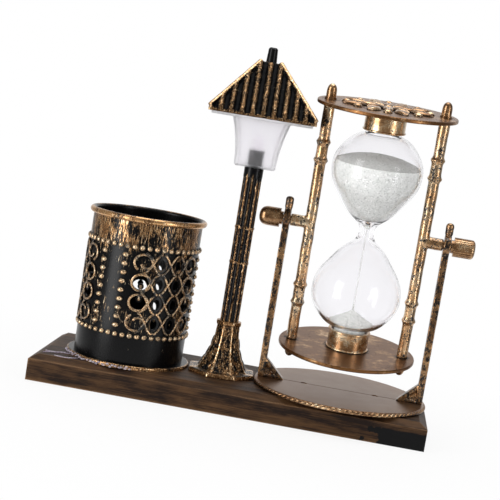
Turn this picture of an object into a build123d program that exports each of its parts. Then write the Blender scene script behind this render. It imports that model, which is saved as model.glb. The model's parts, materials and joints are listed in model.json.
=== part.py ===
"""Desk set on a wooden board: a turning hourglass in its stand, a street lamp and a pierced pen cup."""
import os
from math import atan, cos, degrees, hypot, radians, sin

from build123d import *

os.makedirs("parts", exist_ok=True)

# Board
BOARD_L = 195.0
BOARD_W = 71.0
BOARD_T = 13.0
BEVEL_H = 2.5
BEVEL_D = 4.0

# Clearances
SLIP = 0.1
RUN_GAP = 0.05
SIDE_GAP = 0.3
DOOR_GAP = 0.2
SAND_GAP = 0.2

# Battery compartment in the underside
TRAY_L = 52.0
TRAY_W = 26.0
TRAY_H = 7.0
TRAY_WALL = 1.2
TRAY_RECESS = 0.3
LAMP_TO_TRAY = 22.0
CELL_R = 10.0
CELL_H = 3.2
CELL_X = -8.0
DIVIDER_X = 3.5
DIVIDER_T = 1.0
DOOR_T = 1.5
CONTACT_L = 12.0
CONTACT_W = 4.0
CONTACT_T = 0.3
DIMPLE_R = 2.0
DOOR_SCREW_X = -22.0
DOOR_SCREW_R = 0.9
DOOR_SCREW_HEAD_R = 1.9
DOOR_SCREW_HEAD_T = 1.0
DOOR_SCREW_L = 4.0
BOSS_WALL = 1.6

# Slide switch beside the cell
SWITCH_X = 11.0
SWITCH_L = 8.6
SWITCH_W = 4.6
SWITCH_WALL = 0.6
SLIDER_L = 3.6
SLIDER_T = 1.4
SLIDER_KNOB_L = 1.8
SLIDER_KNOB_W = 2.0
SLIDER_TRAVEL = 2.5
SLIDER_RECESS = 0.6

# Pen cup
CUP_X = -54.8
CUP_Y = -2.0
CUP_R = 27.4
CUP_WALL = 1.0
CUP_TOP_Z = 87.0
RIM_ROLL_R = 1.5
CUP_FOOT_R = 31.0
CUP_FOOT_T = 1.8
CUP_FLOOR_STEP = 1.2
PANEL_COUNT = 3
PANEL_CENTRE = -50.7
PANEL_ROWS = 4
PANEL_ROW_PITCH = 9.8
PANEL_MID_Z = 50.5
SCROLL_ANGLE = 28.0
SCROLL_ROWS = 2
SCROLL_W = 8.2
SCROLL_H = 7.0
SCROLL_TONGUE_R = 1.5
SCROLL_TONGUE_DROP = 1.7
SCROLL_STEM_W = 1.4
SCROLL_GAP = 4.6
LEAF_ANGLE = 9.5
LEAF_W = 3.4
LEAF_H = 5.2
BORDER_W = 1.1
BORDER_PROUD = 0.6
PIERCE_L = 3.0

# Street lamp
LAMP_X = -6.8
LAMP_Y = 0.0
LAMP_TURN = 5.0
FOOT_R = 18.0
FOOT_SIDES = 8
FOOT_PLATE_T = 2.2
FOOT_PLATE_TAPER = 10.0
FOOT_TOP_Z = 40.0
FLARE_BASE_R = 13.4
FLARE_TOP_R = 6.2
FLARE_POWER = 2.2
FLARE_SECTIONS = 5
COLLAR_R = 6.7
COLLAR_H = 1.8
POST_R = 4.8
POST_TOP_Z = 118.0
FLUTE_COUNT = 10
FLUTE_R = 1.4
FLUTE_OUT = 0.55
FLUTE_STOP = 5.0
SEAM_LOW_Z = 69.5
SEAM_HIGH_Z = 87.2
SEAM_H = 0.9
SEAM_PROUD = 0.15
SPIGOT_R = 3.4
SPIGOT_L = 10.0
WIRE_BORE_R = 2.3
WIRE_R = 0.45
WIRE_SPREAD = 0.75
WIRE_TAIL_Z = 4.4
SHADE_BASE = 10.3
SHADE_TOP = 14.3
SHADE_H = 23.6
SHADE_POWER = 1.9
SHADE_SECTIONS = 5
SHADE_CORNER = 2.2
SHADE_BASE_ROUND = 1.4
SHADE_WALL = 1.2
SHADE_FLANGE = 24.6
SHADE_FLANGE_CORNER = 5.0
SHADE_FLANGE_T = 1.2
LED_HOLDER_R = 3.8
LED_HOLDER_H = 7.4
LED_PLUG_L = 8.0
LED_R = 2.5
LED_FLANGE_R = 2.9
LED_FLANGE_T = 1.0
LED_H = 7.6
EAVE = 26.2
EAVE_T = 1.3
RIDGE = 4.7
ROOF_RISE = 26.0
ROOF_WALL = 1.6
ROOF_CAP_T = 1.8
RIB_COUNT = 9
RIB_PITCH = 5.1
RIB_R = 1.4
HIP_R = 1.4
PEG_R = 2.7
PEG_H = 7.4
PEG_TOP_R = 2.3
PEG_TOP_BEVEL = 0.7
PEG_TENON_R = 1.5
PEG_TENON_L = 3.0

# Hourglass stand
STAND_X = 53.4
STAND_Y = 0.0
PLATE_R = 43.0
PLATE_T = 2.2
PLATE_ROUND = 0.8
GROOVE_W = 0.8
GROOVE_D = 0.4
PIVOT_Z = 95.5
UPRIGHT_INSET = 3.0
UPRIGHT_T = 3.4
UPRIGHT_W = 5.0
EYE_R = 5.0
FINIAL_R = 2.0
FINIAL_NECK_R = 1.3
FINIAL_TOP = 11.4
GUSSET_L = 10.0
GUSSET_H = 9.6
GUSSET_W = 4.2
GUSSET_EDGE = 1.3
GUSSET_SINK = 0.8
RIVET_R = 1.2
RIVET_L = 5.0
RIVET_HEAD_R = 2.0
RIVET_HEAD_T = 0.8
STAND_SCREW_X = 18.0
STAND_SCREW_R = 1.6
STAND_SCREW_HEAD_R = 3.4
STAND_SCREW_HEAD_T = 2.0
STAND_SCREW_SINK = 5.0

# Turning hourglass
TILT = 6.5
DISC_R = 34.5
DISC_T = 1.8
DISC_ROUND = 0.5
CAGE_HALF = 60.3
POST_INSET = 6.3
CANE_R = 2.75
CANE_NODE_R = 3.65
CANE_WAIST_R = 2.85
CANE_NODE_Z = 36.4
CANE_NODE_HALF = 4.6
CANE_NODE_RISE = 2.4
TENON_R = 1.5
TENON_L = 5.2
ACORN_R = 2.9
ACORN_BODY_R = 2.5
ACORN_TIP_R = 0.4
ACORN_H = 7.6
ACORN_BASE_H = 1.1
ACORN_BODY_H = 3.4
BULB_R = 22.4
BULB_Z = 32.0
BULB_FLARE_R = 8.6
BULB_FLARE_Z = 7.2
BULB_SIDE_R = 16.6
BULB_SIDE_Z = 17.0
BULB_SHOULDER_R = 18.7
BULB_SHOULDER_Z = 42.0
STUB_R = 8.9
STUB_Z = 49.2
BULB_END_Z = 58.5
GLASS_WALL = 0.9
NECK_R = 3.8
NECK_BORE_R = 0.9
RING_R = 10.2
RING_WALL = 1.0
RING_H = 9.8
RING_BEAD = 0.5
SAND_CREST_Z = 39.5
SAND_EDGE_Z = 34.0
HEAP_CREST_Z = -40.3
HEAP_EDGE_Z = -54.0
STREAM_R = 0.45
STREAM_START_Z = 2.0

# Pivot screws
SHANK_R = 1.9
SHANK_SEAT = 6.0
BOSS_R = 3.0
KNOB_R = 4.8
KNOB_L = 10.6
KNOB_NECK_R = 3.3
KNOB_NECK_L = 1.3
LEFT_KNOB_DOME = 4.6
RIGHT_KNOB_DOME = 2.2
KNURL_COUNT = 24
KNURL_R = 0.35

# Reference planes and axes
turn = radians(LAMP_TURN)
tilt = radians(TILT)
lamp_plane = Plane(origin=(LAMP_X, LAMP_Y, 0), x_dir=(cos(turn), sin(turn), 0), z_dir=(0, 0, 1))
lamp_face = Plane(origin=(LAMP_X, LAMP_Y, 0), x_dir=lamp_plane.x_dir, z_dir=(sin(turn), -cos(turn), 0))
lamp_axis = Axis((LAMP_X, LAMP_Y, 0), (0, 0, 1))
cup_face = Plane(origin=(CUP_X, CUP_Y, 0), x_dir=(1, 0, 0), z_dir=(0, -1, 0))
cup_axis = Axis((CUP_X, CUP_Y, 0), (0, 0, 1))
pivot = Vector(STAND_X, STAND_Y, PIVOT_Z)
cage_up = Vector(0, -sin(tilt), cos(tilt))
cage_plane = Plane(origin=pivot, x_dir=(1, 0, 0), z_dir=cage_up)
cage_face = Plane(origin=pivot, x_dir=(1, 0, 0), z_dir=(0, -cos(tilt), -sin(tilt)))
cage_axis = Axis(pivot, cage_up)
pivot_face = Plane(origin=pivot, x_dir=(1, 0, 0), z_dir=(0, -1, 0))
pivot_axis = Axis(pivot, (1, 0, 0))
tray_plane = Plane(origin=(LAMP_X - LAMP_TO_TRAY, LAMP_Y, 0), x_dir=(1, 0, 0), z_dir=(0, 0, 1))

# Heights shared by pieces that meet
tray_top = TRAY_RECESS + TRAY_H
tray_ceiling = tray_top - TRAY_WALL
door_top = TRAY_RECESS + DOOR_T
cell_bottom = door_top + CONTACT_T + DOOR_GAP
cell_top = cell_bottom + CELL_H
plate_top = BOARD_T + PLATE_T
cup_floor_top = BOARD_T + CUP_FOOT_T
shade_floor_top = POST_TOP_Z + SHADE_WALL
shade_top = POST_TOP_Z + SHADE_H + SHADE_FLANGE_T
eave_top = shade_top + EAVE_T
roof_top = eave_top + ROOF_RISE
led_seat = shade_floor_top + LED_HOLDER_H
upright_x = PLATE_R - UPRIGHT_INSET
post_x = DISC_R - POST_INSET
upright_in = upright_x - UPRIGHT_T / 2
upright_out = upright_x + UPRIGHT_T / 2
boss_end = upright_in - SIDE_GAP
knob_start = upright_out + SIDE_GAP


# Base and lamp power

with BuildPart() as base_board:
    with BuildSketch():
        Rectangle(BOARD_L, BOARD_W)
    extrude(amount=BOARD_T - BEVEL_H)
    with BuildSketch(Plane.XY.offset(BOARD_T - BEVEL_H)):
        Rectangle(BOARD_L, BOARD_W)
    extrude(amount=BEVEL_H, taper=degrees(atan(BEVEL_D / BEVEL_H)))
    with BuildSketch(tray_plane):
        Rectangle(TRAY_L + 2 * SLIP, TRAY_W + 2 * SLIP)
    extrude(amount=tray_top + SLIP, mode=Mode.SUBTRACT)
    with BuildSketch(lamp_plane):
        Circle(WIRE_BORE_R)
    extrude(amount=BOARD_T, mode=Mode.SUBTRACT)
    with BuildSketch(Plane.XY):
        with Locations((STAND_X - STAND_SCREW_X, STAND_Y), (STAND_X + STAND_SCREW_X, STAND_Y)):
            Circle(STAND_SCREW_R + SLIP)
    extrude(amount=BOARD_T, mode=Mode.SUBTRACT)
    with BuildSketch(Plane.XY):
        with Locations((STAND_X - STAND_SCREW_X, STAND_Y), (STAND_X + STAND_SCREW_X, STAND_Y)):
            Circle(STAND_SCREW_HEAD_R + SLIP)
    extrude(amount=STAND_SCREW_SINK, mode=Mode.SUBTRACT)
base_board.part.label = "base_board"
export_step(base_board.part, "parts/base_board.step")

bay_left = -TRAY_L / 2 + TRAY_WALL
bay_right = DIVIDER_X - DIVIDER_T / 2
bay_mid = (bay_left + bay_right) / 2
switch_bay_left = DIVIDER_X + DIVIDER_T / 2
switch_bay_right = TRAY_L / 2 - TRAY_WALL
switch_bay_mid = (switch_bay_left + switch_bay_right) / 2
inner_w = TRAY_W - 2 * TRAY_WALL
slider_window_l = SLIDER_KNOB_L + SLIDER_TRAVEL + 2 * SIDE_GAP
slider_window_w = SLIDER_KNOB_W + 2 * SIDE_GAP
slider_rest_x = SWITCH_X - SLIDER_TRAVEL / 2

with BuildPart() as battery_tray:
    with BuildSketch(tray_plane.offset(TRAY_RECESS)):
        Rectangle(TRAY_L, TRAY_W)
    extrude(amount=TRAY_H)
    with BuildSketch(tray_plane.offset(TRAY_RECESS)):
        with Locations((bay_mid, 0)):
            Rectangle(bay_right - bay_left, inner_w)
    extrude(amount=TRAY_H - TRAY_WALL, mode=Mode.SUBTRACT)
    with BuildSketch(tray_plane.offset(TRAY_RECESS + TRAY_WALL)):
        with Locations((switch_bay_mid, 0)):
            Rectangle(switch_bay_right - switch_bay_left, inner_w)
    extrude(amount=TRAY_H - 2 * TRAY_WALL, mode=Mode.SUBTRACT)
    with BuildSketch(tray_plane.offset(TRAY_RECESS)):
        with Locations((SWITCH_X, 0)):
            Rectangle(slider_window_l, slider_window_w)
    extrude(amount=TRAY_WALL, mode=Mode.SUBTRACT)
    with BuildSketch(tray_plane.offset(tray_ceiling)):
        with Locations((LAMP_TO_TRAY, 0)):
            Circle(WIRE_BORE_R)
    extrude(amount=TRAY_WALL, mode=Mode.SUBTRACT)
    with BuildSketch(tray_plane.offset(door_top)):
        with Locations((DOOR_SCREW_X, 0)):
            Circle(DOOR_SCREW_R + BOSS_WALL)
    extrude(amount=tray_ceiling - door_top)
    with BuildSketch(tray_plane.offset(door_top)):
        with Locations((DOOR_SCREW_X, 0)):
            Circle(DOOR_SCREW_R + SLIP)
    extrude(amount=DOOR_SCREW_L, mode=Mode.SUBTRACT)
battery_tray.part.label = "battery_tray"
export_step(battery_tray.part, "parts/battery_tray.step")

with BuildPart() as battery_door:
    with BuildSketch(tray_plane.offset(TRAY_RECESS)):
        with Locations((bay_mid, 0)):
            Rectangle(bay_right - bay_left - 2 * DOOR_GAP, inner_w - 2 * DOOR_GAP)
    extrude(amount=DOOR_T)
    with BuildSketch(tray_plane.offset(TRAY_RECESS)):
        with Locations((DOOR_SCREW_X, 0)):
            Circle(DOOR_SCREW_R + SLIP)
    extrude(amount=DOOR_T, mode=Mode.SUBTRACT)
    with BuildSketch(tray_plane.offset(TRAY_RECESS)):
        with Locations((DOOR_SCREW_X, 0)):
            Circle(DOOR_SCREW_HEAD_R + SLIP)
    extrude(amount=DOOR_SCREW_HEAD_T, mode=Mode.SUBTRACT)
battery_door.part.label = "battery_door"
export_step(battery_door.part, "parts/battery_door.step")

with BuildPart() as door_screw:
    with BuildSketch(tray_plane.offset(TRAY_RECESS)):
        with Locations((DOOR_SCREW_X, 0)):
            Circle(DOOR_SCREW_HEAD_R)
    extrude(amount=DOOR_SCREW_HEAD_T)
    with BuildSketch(tray_plane.offset(TRAY_RECESS + DOOR_SCREW_HEAD_T)):
        with Locations((DOOR_SCREW_X, 0)):
            Circle(DOOR_SCREW_R)
    extrude(amount=DOOR_SCREW_L)
door_screw.part.label = "door_screw"
export_step(door_screw.part, "parts/door_screw.step")

with BuildPart() as coin_cell:
    with BuildSketch(tray_plane.offset(cell_bottom)):
        with Locations((CELL_X, 0)):
            Circle(CELL_R)
    extrude(amount=CELL_H)
    fillet(coin_cell.edges(), radius=CONTACT_T)
coin_cell.part.label = "coin_cell"
export_step(coin_cell.part, "parts/coin_cell.step")

# A strip under the cell on the door and one above it on the ceiling, each with a dimple against the cell
with BuildPart() as battery_contacts:
    with BuildSketch(tray_plane.offset(door_top), tray_plane.offset(tray_ceiling - CONTACT_T)):
        with Locations((CELL_X, 0)):
            Rectangle(CONTACT_L, CONTACT_W)
    extrude(amount=CONTACT_T)
    with BuildSketch(tray_plane.offset(door_top + CONTACT_T)):
        with Locations((CELL_X, 0)):
            Circle(DIMPLE_R)
    extrude(amount=DOOR_GAP)
    with BuildSketch(tray_plane.offset(cell_top)):
        with Locations((CELL_X, 0)):
            Circle(DIMPLE_R)
    extrude(amount=tray_ceiling - CONTACT_T - cell_top)
battery_contacts.part.label = "battery_contacts"
export_step(battery_contacts.part, "parts/battery_contacts.step")

switch_bottom = TRAY_RECESS + TRAY_WALL
slider_floor = switch_bottom + SWITCH_WALL
slider_room_h = SLIDER_T + 2 * RUN_GAP

with BuildPart() as switch_body:
    with BuildSketch(tray_plane.offset(switch_bottom)):
        with Locations((SWITCH_X, 0)):
            Rectangle(SWITCH_L, SWITCH_W)
    extrude(amount=tray_ceiling - switch_bottom)
    with BuildSketch(tray_plane.offset(slider_floor)):
        with Locations((SWITCH_X, 0)):
            Rectangle(SLIDER_L + SLIDER_TRAVEL + 2 * SIDE_GAP, SWITCH_W - 2 * SWITCH_WALL)
    extrude(amount=slider_room_h, mode=Mode.SUBTRACT)
    with BuildSketch(tray_plane.offset(switch_bottom)):
        with Locations((SWITCH_X, 0)):
            Rectangle(slider_window_l, slider_window_w)
    extrude(amount=SWITCH_WALL, mode=Mode.SUBTRACT)
switch_body.part.label = "switch_body"
export_step(switch_body.part, "parts/switch_body.step")

with BuildPart() as switch_slider:
    with BuildSketch(tray_plane.offset(slider_floor + RUN_GAP)):
        with Locations((slider_rest_x, 0)):
            Rectangle(SLIDER_L, SWITCH_W - 2 * SWITCH_WALL - 2 * RUN_GAP)
    extrude(amount=SLIDER_T)
    with BuildSketch(tray_plane.offset(SLIDER_RECESS)):
        with Locations((slider_rest_x, 0)):
            Rectangle(SLIDER_KNOB_L, SLIDER_KNOB_W)
    extrude(amount=slider_floor + RUN_GAP - SLIDER_RECESS)
switch_slider.part.label = "switch_slider"
export_step(switch_slider.part, "parts/switch_slider.step")

# Pen cup

with BuildPart() as pen_cup_floor:
    with BuildSketch(Plane(cup_axis.position, z_dir=(0, 0, 1)).offset(BOARD_T)):
        Circle(CUP_FOOT_R)
    extrude(amount=CUP_FOOT_T)
    fillet(pen_cup_floor.faces().sort_by(Axis.Z)[-1].edges(), radius=CUP_FOOT_T / 2)
    with BuildSketch(Plane(cup_axis.position, z_dir=(0, 0, 1)).offset(cup_floor_top)):
        Circle(CUP_R - CUP_WALL - SLIP)
    extrude(amount=CUP_FLOOR_STEP)
pen_cup_floor.part.label = "pen_cup_floor"
export_step(pen_cup_floor.part, "parts/pen_cup_floor.step")


def panel_columns():
    """A sketch plane inside the wall for each column of openings, and whether its openings are scrolls."""
    for panel in range(PANEL_COUNT):
        for offset_angle in (-SCROLL_ANGLE, -LEAF_ANGLE, LEAF_ANGLE, SCROLL_ANGLE):
            angle = radians(PANEL_CENTRE + 360 / PANEL_COUNT * panel + offset_angle)
            outward = Vector(cos(angle), sin(angle), 0)
            start = Vector(CUP_X, CUP_Y, PANEL_MID_Z) + outward * (CUP_R - 2 * CUP_WALL)
            column = Plane(origin=start, x_dir=(-sin(angle), cos(angle), 0), z_dir=outward)
            yield column, abs(offset_angle) == SCROLL_ANGLE


tongue_span = PANEL_ROW_PITCH - 2 * SCROLL_TONGUE_DROP

# Raised borders of the ornament, trimmed to stand evenly proud of the round wall; those of the outer rows
# of scrolls are open towards the middle
with BuildPart() as panel_borders:
    for column, scrolled in panel_columns():
        with BuildSketch(column):
            with GridLocations(0, PANEL_ROW_PITCH, 1, PANEL_ROWS):
                if scrolled:
                    Ellipse(SCROLL_W / 2 + BORDER_W, SCROLL_H / 2 + BORDER_W)
                else:
                    Ellipse(LEAF_W / 2 + BORDER_W, LEAF_H / 2 + BORDER_W)
            if scrolled:
                with GridLocations(0, (PANEL_ROWS - 1) * PANEL_ROW_PITCH, 1, 2):
                    Ellipse(SCROLL_W / 2, SCROLL_H / 2, mode=Mode.SUBTRACT)
                with GridLocations(0, (PANEL_ROWS - 1) * PANEL_ROW_PITCH - SCROLL_H - BORDER_W, 1, 2):
                    Rectangle(SCROLL_GAP, 2 * BORDER_W, mode=Mode.SUBTRACT)
        extrude(amount=PIERCE_L)
    with BuildSketch(Plane(cup_axis.position, z_dir=(0, 0, 1))):
        Circle(CUP_R + BORDER_PROUD)
        Circle(CUP_R - CUP_WALL / 2, mode=Mode.SUBTRACT)
    extrude(amount=CUP_TOP_Z, mode=Mode.INTERSECT)

# The wall is one rolled sheet with a curled rim, pierced with four rows of leaves and two rows of scrolls,
# whose tongues grow from the land between them
with BuildPart() as pen_cup_wall:
    with BuildSketch(cup_face):
        with BuildLine():
            Polyline(
                (CUP_R - CUP_WALL, cup_floor_top),
                (CUP_R, cup_floor_top),
                (CUP_R, CUP_TOP_Z - RIM_ROLL_R),
                (CUP_R - CUP_WALL, CUP_TOP_Z - RIM_ROLL_R),
                close=True,
            )
        make_face()
        with Locations((CUP_R - CUP_WALL + RIM_ROLL_R, CUP_TOP_Z - RIM_ROLL_R)):
            Circle(RIM_ROLL_R)
    revolve(axis=cup_axis)
    add(panel_borders.part)
    for column, scrolled in panel_columns():
        with BuildSketch(column):
            if scrolled:
                with GridLocations(0, PANEL_ROW_PITCH, 1, SCROLL_ROWS):
                    Ellipse(SCROLL_W / 2, SCROLL_H / 2)
                with GridLocations(0, tongue_span, 1, SCROLL_ROWS):
                    Circle(SCROLL_TONGUE_R, mode=Mode.SUBTRACT)
                Rectangle(SCROLL_STEM_W, tongue_span, mode=Mode.SUBTRACT)
            else:
                with GridLocations(0, PANEL_ROW_PITCH, 1, PANEL_ROWS):
                    Ellipse(LEAF_W / 2, LEAF_H / 2)
        extrude(amount=PIERCE_L, mode=Mode.SUBTRACT)
pen_cup_wall.part.label = "pen_cup_wall"
export_step(pen_cup_wall.part, "parts/pen_cup_wall.step")

# Street lamp


def flare_radius(share):
    """Circumscribed radius of the concave foot at a share of its height."""
    return FLARE_TOP_R + (FLARE_BASE_R - FLARE_TOP_R) * (1 - share) ** FLARE_POWER


def shade_half(share):
    """Half width of the shade at a share of its height."""
    return SHADE_BASE + (SHADE_TOP - SHADE_BASE) * share**SHADE_POWER


flare_start = BOARD_T + FOOT_PLATE_T
flare_h = FOOT_TOP_Z - COLLAR_H - flare_start

with BuildPart() as lamp_foot:
    with BuildSketch(lamp_plane.offset(BOARD_T)):
        RegularPolygon(FOOT_R, FOOT_SIDES, rotation=180 / FOOT_SIDES)
    extrude(amount=FOOT_PLATE_T, taper=FOOT_PLATE_TAPER)
    for step in range(FLARE_SECTIONS):
        share = step / (FLARE_SECTIONS - 1)
        with BuildSketch(lamp_plane.offset(flare_start + flare_h * share)):
            RegularPolygon(flare_radius(share), FOOT_SIDES, rotation=180 / FOOT_SIDES)
    loft()
    with BuildSketch(lamp_plane.offset(FOOT_TOP_Z - COLLAR_H)):
        RegularPolygon(COLLAR_R, FOOT_SIDES, rotation=180 / FOOT_SIDES)
    extrude(amount=COLLAR_H)
    with BuildSketch(lamp_plane.offset(FOOT_TOP_Z - SPIGOT_L)):
        Circle(SPIGOT_R + SLIP)
    extrude(amount=SPIGOT_L, mode=Mode.SUBTRACT)
    with BuildSketch(lamp_plane.offset(BOARD_T)):
        Circle(WIRE_BORE_R)
    extrude(amount=FOOT_TOP_Z - BOARD_T, mode=Mode.SUBTRACT)
lamp_foot.part.label = "lamp_foot"
export_step(lamp_foot.part, "parts/lamp_foot.step")

with BuildPart() as lamp_post:
    with BuildSketch(lamp_plane.offset(FOOT_TOP_Z)):
        Circle(POST_R)
    extrude(amount=POST_TOP_Z - FOOT_TOP_Z)
    with BuildSketch(lamp_plane.offset(FOOT_TOP_Z)):
        with PolarLocations(POST_R + FLUTE_OUT, FLUTE_COUNT):
            Circle(FLUTE_R)
    extrude(amount=POST_TOP_Z - FLUTE_STOP - FOOT_TOP_Z, mode=Mode.SUBTRACT)
    with BuildSketch(lamp_plane.offset(SEAM_LOW_Z), lamp_plane.offset(SEAM_HIGH_Z)):
        Circle(POST_R + SEAM_PROUD)
    extrude(amount=SEAM_H)
    with BuildSketch(lamp_plane.offset(FOOT_TOP_Z - SPIGOT_L)):
        Circle(SPIGOT_R)
    extrude(amount=SPIGOT_L)
    with BuildSketch(lamp_plane.offset(FOOT_TOP_Z - SPIGOT_L)):
        Circle(WIRE_BORE_R)
    extrude(amount=POST_TOP_Z - FOOT_TOP_Z + SPIGOT_L, mode=Mode.SUBTRACT)
lamp_post.part.label = "lamp_post"
export_step(lamp_post.part, "parts/lamp_post.step")

with BuildPart() as lamp_shade:
    for step in range(SHADE_SECTIONS):
        share = step / (SHADE_SECTIONS - 1)
        with BuildSketch(lamp_plane.offset(POST_TOP_Z + SHADE_H * share)):
            RectangleRounded(2 * shade_half(share), 2 * shade_half(share), SHADE_CORNER)
    loft()
    fillet(lamp_shade.faces().sort_by(Axis.Z)[0].edges(), radius=SHADE_BASE_ROUND)
    with BuildSketch(lamp_plane.offset(POST_TOP_Z + SHADE_H)):
        RectangleRounded(2 * SHADE_FLANGE, 2 * SHADE_FLANGE, SHADE_FLANGE_CORNER)
    extrude(amount=SHADE_FLANGE_T)
    for step in range(SHADE_SECTIONS):
        share = step / (SHADE_SECTIONS - 1)
        inner = 2 * (shade_half(share) - SHADE_WALL)
        with BuildSketch(lamp_plane.offset(shade_floor_top + (shade_top - shade_floor_top) * share)):
            RectangleRounded(inner, inner, SHADE_CORNER)
    loft(mode=Mode.SUBTRACT)
    with BuildSketch(lamp_plane.offset(POST_TOP_Z)):
        Circle(WIRE_BORE_R)
    extrude(amount=SHADE_WALL, mode=Mode.SUBTRACT)
lamp_shade.part.label = "lamp_shade"
export_step(lamp_shade.part, "parts/lamp_shade.step")

with BuildPart() as led_holder:
    with BuildSketch(lamp_plane.offset(shade_floor_top)):
        Circle(LED_HOLDER_R)
    extrude(amount=LED_HOLDER_H)
    with BuildSketch(lamp_plane.offset(shade_floor_top - LED_PLUG_L)):
        Circle(WIRE_BORE_R - SLIP)
    extrude(amount=LED_PLUG_L)
    with BuildSketch(lamp_plane.offset(shade_floor_top - LED_PLUG_L)):
        Circle(WIRE_SPREAD + WIRE_R + SLIP)
    extrude(amount=LED_PLUG_L + LED_HOLDER_H, mode=Mode.SUBTRACT)
led_holder.part.label = "led_holder"
export_step(led_holder.part, "parts/led_holder.step")

with BuildPart() as led:
    with BuildSketch(lamp_face):
        with BuildLine():
            Polyline(
                (0, led_seat + LED_H),
                (0, led_seat),
                (LED_FLANGE_R, led_seat),
                (LED_FLANGE_R, led_seat + LED_FLANGE_T),
                (LED_R, led_seat + LED_FLANGE_T),
                (LED_R, led_seat + LED_H - LED_R),
            )
            RadiusArc((LED_R, led_seat + LED_H - LED_R), (0, led_seat + LED_H), -LED_R)
        make_face()
    revolve(axis=lamp_axis)
led.part.label = "led"
export_step(led.part, "parts/led.step")

with BuildPart() as lamp_wires:
    with BuildSketch(lamp_plane.offset(WIRE_TAIL_Z)):
        with Locations((0, -WIRE_SPREAD), (0, WIRE_SPREAD)):
            Circle(WIRE_R)
    extrude(amount=led_seat - WIRE_TAIL_Z)
lamp_wires.part.label = "lamp_wires"
export_step(lamp_wires.part, "parts/lamp_wires.step")

roof_run = EAVE - RIDGE
slope_l = hypot(roof_run, ROOF_RISE)
front_slope = Plane(
    origin=lamp_plane.offset(eave_top).from_local_coords((0, -EAVE, 0)),
    x_dir=lamp_plane.x_dir,
    z_dir=lamp_plane.y_dir * roof_run + Vector(0, 0, ROOF_RISE),
)

# The ribs of the front slope, cut off where the hips meet them
with BuildPart() as slope_ribs:
    with BuildSketch(front_slope):
        with GridLocations(RIB_PITCH, 0, RIB_COUNT, 1):
            Circle(RIB_R)
    extrude(amount=slope_l)
    with BuildSketch(lamp_plane.offset(eave_top)):
        with BuildLine():
            Polyline((0, 0), (-EAVE, -EAVE), (EAVE, -EAVE), close=True)
        make_face()
    extrude(amount=ROOF_RISE, mode=Mode.INTERSECT)

with BuildPart() as lamp_roof:
    with BuildSketch(lamp_plane.offset(shade_top)):
        Rectangle(2 * EAVE, 2 * EAVE)
    extrude(amount=EAVE_T)
    with BuildSketch(lamp_plane.offset(eave_top)):
        Rectangle(2 * EAVE, 2 * EAVE)
    with BuildSketch(lamp_plane.offset(roof_top)):
        Rectangle(2 * RIDGE, 2 * RIDGE)
    loft()
    for quarter in range(4):
        add(slope_ribs.part.rotate(lamp_axis, 90 * quarter))
        corner = Vector(EAVE, -EAVE, eave_top).rotate(Axis.Z, 90 * quarter)
        crest = Vector(RIDGE, -RIDGE, roof_top).rotate(Axis.Z, 90 * quarter)
        hip_foot = lamp_plane.from_local_coords(corner + (crest - corner).normalized() * HIP_R)
        hip_head = lamp_plane.from_local_coords(crest)
        with BuildSketch(Plane(origin=hip_foot, z_dir=hip_head - hip_foot)):
            Circle(HIP_R)
        extrude(amount=(hip_head - hip_foot).length)
    with BuildSketch(lamp_plane.offset(shade_top)):
        Rectangle(2 * (EAVE - ROOF_WALL), 2 * (EAVE - ROOF_WALL))
    with BuildSketch(lamp_plane.offset(roof_top - ROOF_CAP_T)):
        Rectangle(2 * (RIDGE - ROOF_WALL), 2 * (RIDGE - ROOF_WALL))
    loft(mode=Mode.SUBTRACT)
    with BuildSketch(lamp_plane.offset(roof_top - ROOF_CAP_T)):
        Circle(PEG_TENON_R + SLIP)
    extrude(amount=ROOF_CAP_T, mode=Mode.SUBTRACT)
lamp_roof.part.label = "lamp_roof"
export_step(lamp_roof.part, "parts/lamp_roof.step")

peg_top = roof_top + PEG_H
with BuildPart() as lamp_peg:
    with BuildSketch(lamp_face):
        with BuildLine():
            Polyline(
                (0, roof_top - PEG_TENON_L),
                (PEG_TENON_R, roof_top - PEG_TENON_L),
                (PEG_TENON_R, roof_top),
                (PEG_R, roof_top),
                (PEG_TOP_R, peg_top - PEG_TOP_BEVEL),
                (PEG_TOP_R - PEG_TOP_BEVEL, peg_top),
                (0, peg_top),
                close=True,
            )
        make_face()
    revolve(axis=lamp_axis)
lamp_peg.part.label = "lamp_peg"
export_step(lamp_peg.part, "parts/lamp_peg.step")

# Hourglass stand

stand_plane = Plane(origin=(STAND_X, STAND_Y, 0), x_dir=(1, 0, 0), z_dir=(0, 0, 1))

with BuildPart() as stand_plate:
    with BuildSketch(stand_plane.offset(BOARD_T)):
        Circle(PLATE_R)
    extrude(amount=PLATE_T)
    fillet(stand_plate.edges(), radius=PLATE_ROUND)
    with BuildSketch(stand_plane.offset(plate_top - GROOVE_D)):
        Rectangle(2 * (upright_in - GUSSET_L), GROOVE_W)
    extrude(amount=GROOVE_D, mode=Mode.SUBTRACT)
    with BuildSketch(stand_plane.offset(BOARD_T)):
        with Locations((-STAND_SCREW_X, 0), (STAND_SCREW_X, 0)):
            Circle(STAND_SCREW_R + RUN_GAP)
        with Locations((-upright_x, 0), (upright_x, 0)):
            Circle(RIVET_R + RUN_GAP)
    extrude(amount=PLATE_T, mode=Mode.SUBTRACT)
    with BuildSketch(stand_plane.offset(BOARD_T)):
        with Locations((-upright_x, 0), (upright_x, 0)):
            Circle(RIVET_HEAD_R + RUN_GAP)
    extrude(amount=RIVET_HEAD_T, mode=Mode.SUBTRACT)
stand_plate.part.label = "stand_plate"
export_step(stand_plate.part, "parts/stand_plate.step")

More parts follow.
